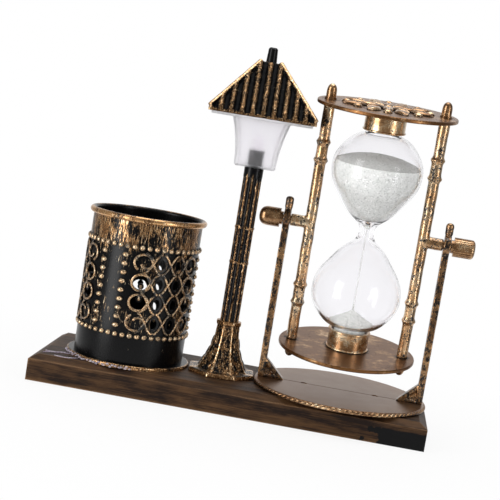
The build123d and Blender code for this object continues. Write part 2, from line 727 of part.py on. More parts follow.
with BuildPart() as stand_screws:
    with BuildSketch(stand_plane.offset(STAND_SCREW_SINK - STAND_SCREW_HEAD_T)):
        with Locations((-STAND_SCREW_X, 0), (STAND_SCREW_X, 0)):
            Circle(STAND_SCREW_HEAD_R)
    extrude(amount=STAND_SCREW_HEAD_T)
    with BuildSketch(stand_plane.offset(STAND_SCREW_SINK)):
        with Locations((-STAND_SCREW_X, 0), (STAND_SCREW_X, 0)):
            Circle(STAND_SCREW_R)
    extrude(amount=plate_top - GROOVE_D - STAND_SCREW_SINK)
stand_screws.part.label = "stand_screws"
export_step(stand_screws.part, "parts/stand_screws.step")

with BuildPart() as upright_rivets:
    with BuildSketch(stand_plane.offset(BOARD_T)):
        with Locations((-upright_x, 0), (upright_x, 0)):
            Circle(RIVET_HEAD_R)
    extrude(amount=RIVET_HEAD_T)
    with BuildSketch(stand_plane.offset(BOARD_T + RIVET_HEAD_T)):
        with Locations((-upright_x, 0), (upright_x, 0)):
            Circle(RIVET_R)
    extrude(amount=PLATE_T - RIVET_HEAD_T + RIVET_L)
upright_rivets.part.label = "upright_rivets"
export_step(upright_rivets.part, "parts/upright_rivets.step")

for side, hand in ((-1, "left"), (1, "right")):
    upright_foot = (STAND_X + side * upright_x, STAND_Y, 0)
    gusset_foot = (STAND_X + side * upright_in, STAND_Y, 0)
    upright_face = Plane(origin=upright_foot, x_dir=(0, 1, 0), z_dir=(1, 0, 0))
    gusset_face = Plane(origin=gusset_foot, x_dir=(1, 0, 0), z_dir=(0, -1, 0))
    finial_axis = Axis(upright_foot, (0, 0, 1))
    finial_face = Plane(origin=upright_foot, x_dir=(1, 0, 0), z_dir=(0, -1, 0))
    with BuildPart() as upright:
        with BuildSketch(upright_face):
            with Locations((0, (plate_top + PIVOT_Z) / 2)):
                Rectangle(UPRIGHT_W, PIVOT_Z - plate_top)
            with Locations((0, PIVOT_Z)):
                Circle(EYE_R)
        extrude(amount=UPRIGHT_T / 2, both=True)
        with BuildSketch(finial_face):
            with BuildLine():
                Polyline(
                    (0, PIVOT_Z + FINIAL_TOP),
                    (0, PIVOT_Z + SHANK_R + UPRIGHT_T / 2),
                    (FINIAL_NECK_R, PIVOT_Z + SHANK_R + UPRIGHT_T / 2),
                    (FINIAL_NECK_R, PIVOT_Z + EYE_R),
                )
                Spline(
                    (FINIAL_NECK_R, PIVOT_Z + EYE_R),
                    (FINIAL_R, PIVOT_Z + FINIAL_TOP - 2 * FINIAL_R),
                    (0, PIVOT_Z + FINIAL_TOP),
                    tangents=[(1, 0.5), (-1, 0)],
                )
            make_face()
        revolve(axis=finial_axis)
        with BuildSketch(gusset_face):
            with BuildLine():
                Polyline(
                    (side * GUSSET_EDGE, plate_top),
                    (-side * GUSSET_L, plate_top),
                    (side * GUSSET_EDGE, plate_top + GUSSET_H + GUSSET_EDGE),
                    close=True,
                )
            make_face()
        extrude(amount=GUSSET_W / 2, both=True)
        with BuildSketch(gusset_face.offset(GUSSET_W / 2 - GUSSET_SINK), gusset_face.offset(-GUSSET_W / 2)):
            with BuildLine():
                Polyline(
                    (0, plate_top + GUSSET_EDGE),
                    (-side * (GUSSET_L - 3 * GUSSET_EDGE), plate_top + GUSSET_EDGE),
                    (0, plate_top + GUSSET_H - 2 * GUSSET_EDGE),
                    close=True,
                )
            make_face()
        extrude(amount=GUSSET_SINK, mode=Mode.SUBTRACT)
        with BuildSketch(upright_face):
            with Locations((0, PIVOT_Z)):
                Circle(SHANK_R + RUN_GAP)
        extrude(amount=UPRIGHT_T, both=True, mode=Mode.SUBTRACT)
        with BuildSketch(Plane(upright_foot, z_dir=(0, 0, 1)).offset(plate_top)):
            Circle(RIVET_R + RUN_GAP)
        extrude(amount=RIVET_L, mode=Mode.SUBTRACT)
    upright.part.label = f"{hand}_upright"
    export_step(upright.part, f"parts/{hand}_upright.step")

# Turning hourglass

for side, end in ((1, "top"), (-1, "bottom")):
    with BuildPart() as disc:
        with BuildSketch(cage_plane.offset(CAGE_HALF if side > 0 else -CAGE_HALF - DISC_T)):
            Circle(DISC_R)
            with Locations((-post_x, 0), (post_x, 0)):
                Circle(TENON_R + SLIP, mode=Mode.SUBTRACT)
        extrude(amount=DISC_T)
        rims = disc.edges().filter_by(GeomType.CIRCLE).filter_by(lambda e: e.radius > DISC_R - DISC_T)
        fillet(rims, radius=DISC_ROUND)
    disc.part.label = f"{end}_disc"
    export_step(disc.part, f"parts/{end}_disc.step")

    with BuildPart() as ring:
        with BuildSketch(cage_face):
            with BuildLine():
                Polyline(
                    (RING_R - RING_WALL, side * (CAGE_HALF - RING_H)),
                    (RING_R, side * (CAGE_HALF - RING_H)),
                    (RING_R, side * CAGE_HALF),
                    (RING_R - RING_WALL, side * CAGE_HALF),
                    close=True,
                )
            make_face()
            with Locations(
                (RING_R, side * (CAGE_HALF - RING_H + RING_BEAD)),
                (RING_R, side * (CAGE_HALF - RING_BEAD)),
            ):
                Circle(RING_BEAD)
        revolve(axis=cage_axis)
    ring.part.label = f"{end}_collar"
    export_step(ring.part, f"parts/{end}_collar.step")

low_node_z = CANE_NODE_Z - CANE_NODE_HALF
high_node_z = CANE_NODE_Z + CANE_NODE_HALF

# Each cane has a doubled node above and below its middle, a tenon at each end and a boss for its screw
for side, hand in ((-1, "left"), (1, "right")):
    cane_axis = Axis(pivot + Vector(side * post_x, 0, 0), cage_up)
    cane_face = Plane(origin=cane_axis.position, x_dir=(1, 0, 0), z_dir=cage_face.z_dir)
    with BuildPart() as cane:
        with BuildSketch(cane_face):
            with BuildLine():
                Line((CANE_R, 0), (CANE_R, low_node_z - CANE_NODE_RISE))
                Spline(
                    (CANE_R, low_node_z - CANE_NODE_RISE),
                    (CANE_NODE_R, low_node_z),
                    (CANE_WAIST_R, low_node_z + CANE_NODE_RISE),
                    tangents=[(0, 1), (0, 1)],
                )
                Line(
                    (CANE_WAIST_R, low_node_z + CANE_NODE_RISE),
                    (CANE_WAIST_R, high_node_z - CANE_NODE_RISE),
                )
                Spline(
                    (CANE_WAIST_R, high_node_z - CANE_NODE_RISE),
                    (CANE_NODE_R, high_node_z),
                    (CANE_R, high_node_z + CANE_NODE_RISE),
                    tangents=[(0, 1), (0, 1)],
                )
                Polyline(
                    (CANE_R, high_node_z + CANE_NODE_RISE),
                    (CANE_R, CAGE_HALF),
                    (0, CAGE_HALF),
                    (0, 0),
                    (CANE_R, 0),
                )
            make_face()
        revolve(axis=cane_axis)
        with BuildSketch(Plane(cane_axis.position, z_dir=cage_up).offset(CAGE_HALF)):
            Circle(TENON_R)
        extrude(amount=TENON_L)
        mirror(about=cage_plane)
        with BuildSketch(Plane(cane_axis.position, x_dir=(0, 1, 0), z_dir=(side, 0, 0))):
            Circle(BOSS_R)
        extrude(amount=boss_end - post_x)
        with BuildSketch(Plane(pivot + Vector(side * boss_end, 0, 0), x_dir=(0, 1, 0), z_dir=(-side, 0, 0))):
            Circle(SHANK_R + RUN_GAP)
        extrude(amount=SHANK_SEAT + SIDE_GAP, mode=Mode.SUBTRACT)
    cane.part.label = f"{hand}_post"
    export_step(cane.part, f"parts/{hand}_post.step")

acorn_seat = CAGE_HALF + DISC_T
with BuildPart() as acorn_nuts:
    with BuildSketch(cage_face):
        with BuildLine():
            Polyline(
                (post_x + TENON_R + SLIP, acorn_seat),
                (post_x + ACORN_R, acorn_seat),
                (post_x + ACORN_R, acorn_seat + ACORN_BASE_H),
                (post_x + ACORN_BODY_R, acorn_seat + ACORN_BASE_H),
                (post_x + ACORN_BODY_R, acorn_seat + ACORN_BODY_H),
            )
            Spline(
                (post_x + ACORN_BODY_R, acorn_seat + ACORN_BODY_H),
                (post_x + ACORN_TIP_R, acorn_seat + ACORN_H),
                tangents=[(0, 1), (-1, 0.3)],
            )
            Polyline(
                (post_x + ACORN_TIP_R, acorn_seat + ACORN_H),
                (post_x, acorn_seat + ACORN_H),
                (post_x, CAGE_HALF + TENON_L + SLIP),
                (post_x + TENON_R + SLIP, CAGE_HALF + TENON_L + SLIP),
                (post_x + TENON_R + SLIP, acorn_seat),
            )
        make_face()
    revolve(axis=Axis(pivot + Vector(post_x, 0, 0), cage_up))
    mirror(about=cage_plane)
    mirror(about=Plane(origin=pivot, z_dir=(1, 0, 0)))
acorn_nuts.part.label = "acorn_nuts"
export_step(acorn_nuts.part, "parts/acorn_nuts.step")


def bulb_outline(inset, neck):
    """Half outline of one bulb, from the neck to its closed end, set in from the outer skin."""
    Spline(
        (neck, 0),
        (BULB_FLARE_R - inset, BULB_FLARE_Z),
        (BULB_SIDE_R - inset, BULB_SIDE_Z),
        (BULB_R - inset, BULB_Z),
        tangents=[(0, 1), (0, 1)],
    )
    Spline(
        (BULB_R - inset, BULB_Z),
        (BULB_SHOULDER_R - inset, BULB_SHOULDER_Z),
        (STUB_R - inset, STUB_Z - inset),
        tangents=[(0, 1), (-1, 0.2)],
    )
    Polyline(
        (STUB_R - inset, STUB_Z - inset),
        (STUB_R - inset, BULB_END_Z - inset),
        (0, BULB_END_Z - inset),
        (0, 0),
        (neck, 0),
    )


with BuildPart() as glass_bulb:
    with BuildSketch(cage_face):
        with BuildLine():
            bulb_outline(0, NECK_R)
        make_face()
    revolve(axis=cage_axis)
    with BuildSketch(cage_face):
        with BuildLine():
            bulb_outline(GLASS_WALL, NECK_BORE_R)
        make_face()
    revolve(axis=cage_axis, mode=Mode.SUBTRACT)
    mirror(about=cage_plane)
glass_bulb.part.label = "glass_bulb"
export_step(glass_bulb.part, "parts/glass_bulb.step")

# The sand above the neck has a domed top and runs down as a thin stream
with BuildPart() as upper_sand:
    with BuildSketch(cage_face):
        with BuildLine():
            bulb_outline(GLASS_WALL + SAND_GAP, NECK_BORE_R - SAND_GAP)
        make_face()
    revolve(axis=cage_axis)
    with BuildSketch(cage_face):
        with BuildLine():
            Spline((0, SAND_CREST_Z), (BULB_R, SAND_EDGE_Z), tangents=[(1, 0), (1, -0.5)])
            Polyline((BULB_R, SAND_EDGE_Z), (BULB_R, STREAM_START_Z), (0, STREAM_START_Z), (0, SAND_CREST_Z))
        make_face()
    revolve(axis=cage_axis, mode=Mode.INTERSECT)
    with BuildSketch(cage_plane.offset(HEAP_CREST_Z)):
        Circle(STREAM_R)
    extrude(amount=STREAM_START_Z - HEAP_CREST_Z)
upper_sand.part.label = "upper_sand"
export_step(upper_sand.part, "parts/upper_sand.step")

with BuildPart() as lower_sand:
    with BuildSketch(cage_face):
        with BuildLine():
            bulb_outline(GLASS_WALL + SAND_GAP, NECK_BORE_R - SAND_GAP)
        make_face()
    revolve(axis=cage_axis)
    mirror(about=cage_plane, mode=Mode.REPLACE)
    with BuildSketch(cage_face):
        with BuildLine():
            Polyline(
                (0, HEAP_CREST_Z),
                (STREAM_R, HEAP_CREST_Z),
                (BULB_R, HEAP_EDGE_Z),
                (BULB_R, -BULB_END_Z),
                (0, -BULB_END_Z),
                close=True,
            )
        make_face()
    revolve(axis=cage_axis, mode=Mode.INTERSECT)
lower_sand.part.label = "lower_sand"
export_step(lower_sand.part, "parts/lower_sand.step")

# A thumb screw through each upright's eye into the boss of the post
for side, hand, dome in ((-1, "left", LEFT_KNOB_DOME), (1, "right", RIGHT_KNOB_DOME)):
    knob_end = knob_start + KNOB_NECK_L + KNOB_L
    with BuildPart() as pivot_screw:
        with BuildSketch(pivot_face):
            with BuildLine():
                Polyline(
                    (side * knob_end, 0),
                    (side * (boss_end - SHANK_SEAT), 0),
                    (side * (boss_end - SHANK_SEAT), SHANK_R),
                    (side * knob_start, SHANK_R),
                    (side * knob_start, KNOB_NECK_R),
                    (side * (knob_start + KNOB_NECK_L), KNOB_NECK_R),
                    (side * (knob_start + KNOB_NECK_L), KNOB_R),
                    (side * (knob_end - dome), KNOB_R),
                )
                Spline(
                    (side * (knob_end - dome), KNOB_R),
                    (side * knob_end, 0),
                    tangents=[(side, 0), (0, -1)],
                )
            make_face()
        revolve(axis=pivot_axis)
        if hand == "right":
            knurl_start = pivot + Vector(knob_start + KNOB_NECK_L, 0, 0)
            with BuildSketch(Plane(knurl_start, x_dir=(0, 1, 0), z_dir=(1, 0, 0))):
                with PolarLocations(KNOB_R, KNURL_COUNT):
                    Circle(KNURL_R)
            extrude(amount=KNOB_L, mode=Mode.SUBTRACT)
    pivot_screw.part.label = f"{hand}_pivot_screw"
    export_step(pivot_screw.part, f"parts/{hand}_pivot_screw.step")
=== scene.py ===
"""Looks of a desk set: a turning hourglass, a street lamp and a pierced pen cup on a wooden board."""
import json
import math
import random

import bmesh
import bpy
from bpy.props import FloatProperty, FloatVectorProperty, IntProperty, PointerProperty
from bpy.types import Operator, Panel, PropertyGroup
from mathutils import Matrix, Vector
from mathutils.bvhtree import BVHTree


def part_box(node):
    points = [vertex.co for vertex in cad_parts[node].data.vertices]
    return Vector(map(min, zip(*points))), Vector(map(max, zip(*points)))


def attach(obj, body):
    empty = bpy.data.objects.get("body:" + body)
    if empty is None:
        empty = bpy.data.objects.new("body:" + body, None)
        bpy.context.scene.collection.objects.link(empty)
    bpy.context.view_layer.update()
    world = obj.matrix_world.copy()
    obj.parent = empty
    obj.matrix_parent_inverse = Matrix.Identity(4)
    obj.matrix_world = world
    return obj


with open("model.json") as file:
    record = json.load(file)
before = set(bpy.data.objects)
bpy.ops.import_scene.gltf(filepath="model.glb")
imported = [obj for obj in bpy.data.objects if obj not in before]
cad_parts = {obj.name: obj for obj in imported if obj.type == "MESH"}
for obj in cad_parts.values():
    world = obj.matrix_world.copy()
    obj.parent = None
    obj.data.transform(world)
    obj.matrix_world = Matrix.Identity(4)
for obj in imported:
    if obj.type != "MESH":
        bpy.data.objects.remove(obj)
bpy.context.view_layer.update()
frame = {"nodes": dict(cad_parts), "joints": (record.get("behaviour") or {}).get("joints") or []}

bl_info = {
    "name": "Hourglass desk set",
    "version": (1, 0, 0),
    "blender": (4, 5, 0),
    "location": "3D View > Sidebar > Desk set",
    "description": "Finishes and ornament of an hourglass desk set, built on its packed solids",
    "category": "Object",
}

NODES = frame["nodes"]
MM = 0.001
UP = Vector((0, 0, 1))
FLAT = Vector((1, 1, 0))
WHITE = (1, 1, 1, 1)


def box_middle(node):
    """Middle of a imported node's box."""
    low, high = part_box(node)
    return (low + high) / 2


def half_width(node):
    """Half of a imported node's width in x."""
    low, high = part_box(node)
    return (high.x - low.x) / 2


def polar(turn, reach=1.0, rise=0.0):
    """Point at a turn in radians round the z axis, a distance from it and a height."""
    return Vector((reach * math.cos(turn), reach * math.sin(turn), rise))


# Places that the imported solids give, in metres
CUP_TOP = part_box("pen_cup_wall")[1].z
CUP_CENTRE = box_middle("pen_cup_wall") * FLAT
CUP_FLANGE_R = half_width("pen_cup_floor")
BOARD_LOW, BOARD_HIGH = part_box("base_board")
PLATE_MIDDLE = box_middle("stand_plate")
PLATE_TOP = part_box("stand_plate")[1].z
PLATE_R = half_width("stand_plate")
LAMP_CENTRE = box_middle("lamp_peg") * FLAT
POST_TOP_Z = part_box("lamp_shade")[0].z
SHADE_TOP_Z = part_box("lamp_shade")[1].z
FOOT_LOW, FOOT_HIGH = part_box("lamp_foot")
PIVOT = Vector(next(j for j in frame["joints"] if j["name"] == "hourglass_turn")["pos_m"])
TO_TOP_DISC = box_middle("top_disc") - PIVOT
CAGE = Matrix.Translation(PIVOT) @ UP.rotation_difference(TO_TOP_DISC.normalized()).to_matrix().to_4x4()

# Layout of the cup's pierced panels, in degrees round the cup and in metres
PANEL_COUNT = 3
PANEL_FIRST = -50.7
PANEL_CENTRES = [PANEL_FIRST + 360 / PANEL_COUNT * panel for panel in range(PANEL_COUNT)]
PANEL_ROWS = 4
PANEL_ROW_PITCH = 9.8 * MM
PANEL_MIDDLE = 50.5 * MM
SCROLL_ANGLE = 28.0
SCROLL_W = 8.2 * MM
SCROLL_H = 7.0 * MM
SCROLL_TONGUE_DROP = 1.7 * MM
SCROLL_TONGUE_L = 1.2 * MM
BORDER_W = 1.1 * MM
RIM_LIFT = 0.4 * MM
CROSSING_ANGLE = 18.7
STEM_HALF_ANGLE = 8.6
STEM_HALF_RISE = 4.9 * MM
STRIP_ASIDE = -180 / PANEL_COUNT
STRIP_HALF = 12.2
STUD_ROW_LOW = 28.8 * MM
STUD_ROW_HIGH = 72.2 * MM

# Glue beside the cup. A string has its start in degrees, its run in x and y and its bow in millimetres
GLUE_SEED = 4
GLUE_BEADS = 34
GLUE_FROM = -163
GLUE_STEP = 2.6
GLUE_STRINGS = (
    (-150, (-24, -5), 2),
    (-143, (-16, -7), -1.5),
    (-128, (-12, -6), 2.5),
    (-118, (9, -4), 1),
)
GLUE_STRING_R = 0.22 * MM
GLUE_STRING_LIFT = 0.25 * MM
GLUE_MARGIN = 5 * MM

# Black paint on one end of the board's front: where it starts, how high it reaches and how ragged both edges are
PAINT_FROM = 70.5 * MM
PAINT_HIGH = 8.4 * MM
PAINT_RAGGED = 50 * MM
PAINT_WAVE = 4 * MM

# Layout of the lamp, in metres. A leaf has its height on the foot, its length and its width in millimetres,
# and its place aside and its lean in degrees
LAMP_TURN = math.radians(5.0)
LAMP = Matrix.Translation(LAMP_CENTRE) @ Matrix.Rotation(LAMP_TURN, 4, "Z")
RIB_PITCH = 5.1 * MM
EAVE_T = 1.3 * MM
EAVE_Z = SHADE_TOP_Z + EAVE_T
FLUTE_COUNT = 10
SEAMS = (69.95 * MM, 87.65 * MM)
FOOT_SIDES = 8
FOOT_LEAVES = (
    (5.0, 7.0, 3.0, -10, 30),
    (5.0, 7.0, 3.0, 10, -30),
    (10.5, 6.5, 2.8, 0, 0),
    (16.0, 5.5, 2.2, 0, 0),
)
FOOT_LEAF_HIGH = 0.6 * MM
FOOT_CLEAR = 30 * MM

# Ornament of the hourglass and its stand, in metres. A ring of leaves has its reach, length and width in millimetres
# and its offset in leaves. The sand's heap is measured from the pivot
DISC_HALF_T = 0.9 * MM
DISC_OUTER = TO_TOP_DISC.length + DISC_HALF_T
RELIEF_RINGS = ((8.6, 12.0, 5.6, 0.0), (17.5, 12.5, 6.6, 0.5))
BUD_REACH = 20.5 * MM
ROPE_SINK = 0.35 * MM
ROPE_COIL_R = 0.42 * MM
ROPE_STRAND_R = 0.62 * MM
RIVET_IN = 6.4 * MM
RIVET_FRONT = 1.35 * MM
RIVET_RISE = 2.7 * MM
SAND_THREAD_R = 0.9 * MM
SAND_HEAP_TOP = -37 * MM

# Studio, in metres: a round floor that fades to white, and lights with their place, width, height and power in watts
FLOOR_R = 0.22
FLOOR_SHADOW_R = 0.10
FLOOR_WHITE = 0.89
FLOOR_DROP = 0.2 * MM
LIGHT_AIM = Vector((0.0, 0.0, 0.08))
LIGHTS = (
    ("key_light", (-0.80, -0.74, 0.12), 0.45, 1.30, 11.0),
    ("fill_light", (0.95, -0.72, 0.10), 0.25, 1.20, 5.0),
    ("top_light", (0.05, 0.10, 1.10), 0.90, 0.90, 8.0),
)
MIRRORED_FROM = 0.55
MIRRORED_FULL = 0.98


def length(name, description, default):
    """A size that a user may change, in metres."""
    return FloatProperty(name=name, description=description, default=default, min=0.0, precision=5, unit="LENGTH")


def colour(name, description, default):
    """A colour that a user may change, in linear light."""
    return FloatVectorProperty(
        name=name, description=description, default=default, min=0.0, max=1.0, subtype="COLOR", size=3
    )


def angle(name, description, degrees):
    """An angle that a user may change."""
    return FloatProperty(name=name, description=description, default=math.radians(degrees), subtype="ANGLE")


class DeskSetSizes(PropertyGroup):
    """Sizes of the ornament that stands on the solids."""

    cup_radius: length("Cup radius", "Outer radius of the pen cup's wall", 27.4 * MM)
    stud_radius: length("Stud radius", "Radius of the studs on the pen cup", 1.5 * MM)
    row_pitch: length("Stud pitch in the rows", "Distance between the studs of the two rows", 3.6 * MM)
    column_pitch: length("Stud pitch in the columns", "Distance between the studs of the columns", 4.4 * MM)
    scroll_wire: length("Scroll rim", "Half width of the raised rims round the openings", 0.66 * MM)
    stem_wire: length("Stem", "Half width of the crossing stems", 0.64 * MM)
    relief_height: length("Relief height", "Height of the leaves on the hourglass discs", 2.0 * MM)
    relief_leaves: IntProperty(name="Relief leaves", description="Leaves in each ring", default=8, min=3)
    rope_twists: IntProperty(name="Rope twists", description="Turns in the plate's rope edge", default=48, min=8)
    dent: length("Dents", "Depth of the dents in the cast pieces", 0.26 * MM)


class DeskSetColours(PropertyGroup):
    """Colours of the finishes."""

    pale: colour("Pale gold", "Gold where it is rubbed bright", (0.95, 0.78, 0.53))
    gold: colour("Gold", "Brushed gold", (0.56, 0.315, 0.138))
    bronze: colour("Bronze", "Worn gold in the shade", (0.175, 0.080, 0.030))
    umber: colour("Umber", "Dark specks in the gold", (0.009, 0.0055, 0.004))
    black: colour("Black", "Black paint under the gold", (0.0022, 0.0021, 0.0024))
    stain: colour("Stain", "Dark stain of the board", (0.013, 0.0058, 0.0034))
    timber: colour("Timber", "Light grain of the board", (0.098, 0.049, 0.021))
    bare: colour("Bare timber", "Worn edges of the board", (0.290, 0.165, 0.085))
    sand: colour("Sand", "White sand", (0.52, 0.53, 0.505))
    shade: colour("Shade", "Frosted shade", (0.93, 0.92, 0.945))
    sleeve: colour("Sleeve", "Wire insulation", (0.35, 0.03, 0.03))
    steel: colour("Steel", "Plated steel", (0.62, 0.62, 0.63))
    glue: colour("Glue", "Set glue", (0.62, 0.53, 0.66))
    floor: colour("Floor", "Studio floor", (0.93, 0.93, 0.93))


class DeskSetStage(PropertyGroup):
    """Camera and light."""

    camera_place: FloatVectorProperty(
        name="Camera", description="Where the camera stands", default=(0.04762, -0.64826, 0.14914),
        subtype="TRANSLATION", unit="LENGTH", size=3,
    )
    camera_yaw: angle("Yaw", "Turn of the camera to the left", 4.4)
    camera_pitch: angle("Pitch", "Tilt of the camera downwards", 6.34)
    camera_roll: angle("Roll", "Roll of the camera", 9.3)
    camera_lens: FloatProperty(name="Lens", description="Focal length", default=94.21, unit="CAMERA")
    daylight: FloatProperty(name="Daylight", description="Strength of the light from all round", default=0.25, min=0.0)


def sizes():
    """The sizes of the scene."""
    return bpy.context.scene.desk_set_sizes


def colours():
    """The colours of the scene."""
    return bpy.context.scene.desk_set_colours


def opaque(name):
    """A colour of the scene with full alpha, as a shader socket takes it."""
    return (*getattr(colours(), name), 1.0)


class Nodes:
    """Short ways to add nodes to a shader tree; an input takes a value or another node's socket."""

    def __init__(self, tree):
        self.tree = tree

    def node(self, kind, inputs=None, **settings):
        """Adds one shader node."""
        made = self.tree.nodes.new("ShaderNode" + kind)
        for key, value in settings.items():
            setattr(made, key, value)
        for key, value in (inputs or {}).items():
            if isinstance(value, bpy.types.NodeSocket):
                self.tree.links.new(value, made.inputs[key])
            else:
                made.inputs[key].default_value = value
        return made

    def levels(self, value, low, high):
        """0 at low and below, 1 at high and above."""
        return self.node("MapRange", {"Value": value, "From Min": low, "From Max": high}).outputs[0]

    def math(self, operation, first, second=0.0):
        """One Math node."""
        return self.node("Math", {0: first, 1: second}, operation=operation).outputs[0]

    def most(self, first, *others):
        """The largest of several values."""
        for other in others:
            first = self.math("MAXIMUM", first, other)
        return first

    def times(self, first, *others):
        """Product of several values; of masks, the part where all of them hold."""
        for other in others:
            first = self.math("MULTIPLY", first, other)
        return first

    def total(self, *terms):
        """Sum of (value, weight) pairs."""
        whole = 0.0
        for value, weight in terms:
            whole = self.math("ADD", whole, self.times(value, weight))
        return whole

    def reach(self, x, y):
        """Distance from an axis, from the places across it."""
        return self.math("SQRT", self.total((self.times(x, x), 1.0), (self.times(y, y), 1.0)))


class Finish(Nodes):
    """One procedural material: textures sized in millimetres that feed a Principled shader."""

    def __init__(self, name, sockets=None):
        self.material = bpy.data.materials.new(name)
        self.material.use_nodes = True
        super().__init__(self.material.node_tree)
        self.shader = self.tree.nodes["Principled BSDF"]
        self.place = self.node("TexCoord").outputs["Object"]
        self.preset(sockets or {})

    def preset(self, sockets):
        """Sets plain values of the shader."""
        for socket, value in sockets.items():
            self.shader.inputs[socket].default_value = value

    def wire(self, value, socket):
        """Feeds a socket of the shader."""
        self.tree.links.new(value, self.shader.inputs[socket])

    def noise(self, grain, stretch=(1, 1, 1), detail=4.0, roughness=0.6):
        """Noise with features about grain millimetres wide, drawn out along the axes by stretch."""
        scale = [1 / (MM * grain * drawn) for drawn in stretch]
        place = self.node("Mapping", {"Vector": self.place, "Scale": scale}).outputs[0]
        inputs = {"Vector": place, "Scale": 1.0, "Detail": detail, "Roughness": roughness}
        return self.node("TexNoise", inputs).outputs[0]

    def cells(self, grain):
        """A random grey for each grain of about that many millimetres."""
        made = self.node("TexVoronoi", {"Vector": self.place, "Scale": 1 / (MM * grain)})
        return self.node("SeparateColor", {0: made.outputs["Color"]}).outputs[0]

    def mix(self, share, first, second):
        """The first colour where share is 0, the second where it is 1."""
        return self.node("Mix", {0: share, 6: first, 7: second}, data_type="RGBA").outputs[2]

    def axes(self, home=None):
        """The x, y and z of the surface in metres, in the object's own frame or in that of a home matrix."""
        place = self.place
        if home is not None:
            back = home.inverted()
            moved = {"Vector": place, "Location": back.translation, "Rotation": back.to_euler()}
            place = self.node("Mapping", moved).outputs[0]
        return self.node("SeparateXYZ", {0: place}).outputs

    def facing(self, axis):
        """One axis of the surface normal, in the object's own frame."""
        normal = self.node("TexCoord").outputs["Normal"]
        return self.node("SeparateXYZ", {0: normal}).outputs[axis]

    def edges(self, radius):
        """1 along edges that turn away within a radius in millimetres, 0 on plain surfaces."""
        rounded = self.node("Bevel", {"Radius": radius * MM}, samples=6).outputs[0]
        plain = self.node("NewGeometry").outputs["Normal"]
        agree = self.node("VectorMath", {0: rounded, 1: plain}, operation="DOT_PRODUCT").outputs["Value"]
        return self.levels(agree, 0.995, 0.86)

    def open_to_brush_and_light(self, reach):
        """0 in corners and furrows that something within reach millimetres overhangs, 1 where the surface lies open;
        the black it leaves in those hollows is partly missed paint and partly painted shade.
        """
        made = self.node("AmbientOcclusion", {"Distance": reach * MM}, samples=6)
        return self.levels(made.outputs["AO"], 0.55, 0.95)

    def bump(self, height, depth):
        """Relief whose full height is depth millimetres."""
        self.wire(self.node("Bump", {"Height": height, "Distance": depth * MM}).outputs[0], "Normal")


def gild(finish, gold, brush, gloss=0.14):
    """Black paint where gold is 0 and worn gold where it is 1; brush lightens the gold, and gloss lacquers both."""
    finish.preset({"Specular IOR Level": 0.7 * gloss, "Coat Weight": gloss, "Coat Roughness": 0.2})
    sheen = finish.mix(finish.levels(brush, 0.46, 0.57), opaque("bronze"), opaque("gold"))
    sheen = finish.mix(finish.levels(brush, 0.58, 0.68), sheen, opaque("pale"))
    finish.wire(finish.mix(gold, opaque("black"), sheen), "Base Color")
    finish.wire(finish.times(gold, 0.85), "Metallic")
    finish.wire(finish.total((brush, 0.25), (gold, -0.04), (1.0, 0.16)), "Roughness")
    finish.bump(finish.total((brush, 0.5), (gold, 0.5)), 0.05)
    return finish.material


def cup_reach(finish):
    """Distance of the surface from the cup's axis."""
    x, y, _ = finish.axes()
    return finish.reach(finish.math("SUBTRACT", x, CUP_CENTRE.x), finish.math("SUBTRACT", y, CUP_CENTRE.y))


def brushed_cup_paint():
    """Cup wall: black, with a gold rim, a band of gold brush strokes, fine streaks below it and gold borders."""
    finish = Finish("brushed_cup_paint")
    z = finish.axes()[2]
    radius = sizes().cup_radius
    strokes = finish.noise(0.42, (1, 1, 11), detail=5, roughness=0.7)
    patches = finish.noise(7, (1, 1, 2.0))
    reach = cup_reach(finish)
    outside = finish.levels(reach, radius - 0.5 * MM, radius - 0.2 * MM)
    band = finish.levels(z, STUD_ROW_HIGH - 3 * MM, STUD_ROW_HIGH + 2 * MM)
    panels = finish.levels(z, STUD_ROW_LOW - 3 * MM, STUD_ROW_LOW + 2 * MM)
    level = finish.total((strokes, 1.0), (patches, 0.8), (band, 0.14), (panels, 0.12))
    painted = finish.times(finish.levels(level, 1.16, 1.22), outside)
    border = finish.times(
        finish.levels(reach, radius + 0.2 * MM, radius + 0.4 * MM),
        finish.levels(finish.total((strokes, 0.5), (patches, 0.7)), 0.66, 0.76),
    )
    rim = finish.times(
        finish.levels(reach, radius + 0.7 * MM, radius + 1.1 * MM),
        finish.levels(z, CUP_TOP - 3.2 * MM, CUP_TOP - 2.8 * MM),
        finish.levels(finish.total((patches, 1.0), (strokes, 0.4)), 0.54, 0.66),
    )
    brush = finish.most(strokes, finish.times(rim, 0.58))
    return gild(finish, finish.most(painted, border, rim), brush)


def flange_paint():
    """Foot of the cup: black with a gold outer edge."""
    finish = Finish("flange_paint")
    patches = finish.noise(4, detail=5)
    fine = finish.noise(0.6, detail=5)
    edge = finish.levels(cup_reach(finish), CUP_FLANGE_R - 1.3 * MM, CUP_FLANGE_R - 0.6 * MM)
    level = finish.total((edge, 0.40), (patches, 0.7), (fine, 0.5))
    return gild(finish, finish.levels(level, 0.90, 1.02), fine)


def gilded_ornament(name, cover, bright):
    """Ornament of the cup: gold on what stands out; a higher cover leaves more black, and bright lightens the gold. The
    black round the foot of each stud and rim is partly missed paint and partly painted shade.
    """
    finish = Finish(name)
    patches = finish.noise(4, detail=5)
    fine = finish.noise(0.5, detail=5)
    # Gold only where the surface lies open, so black fills the corners: partly missed paint, partly painted shade
    level = finish.total((patches, 0.9), (fine, 0.2), (finish.open_to_brush_and_light(1.6), 0.6))
    brush = finish.total((fine, 0.7), (1.0, 0.15 + bright))
    return gild(finish, finish.levels(level, cover, cover + 0.14), brush, gloss=0.5)


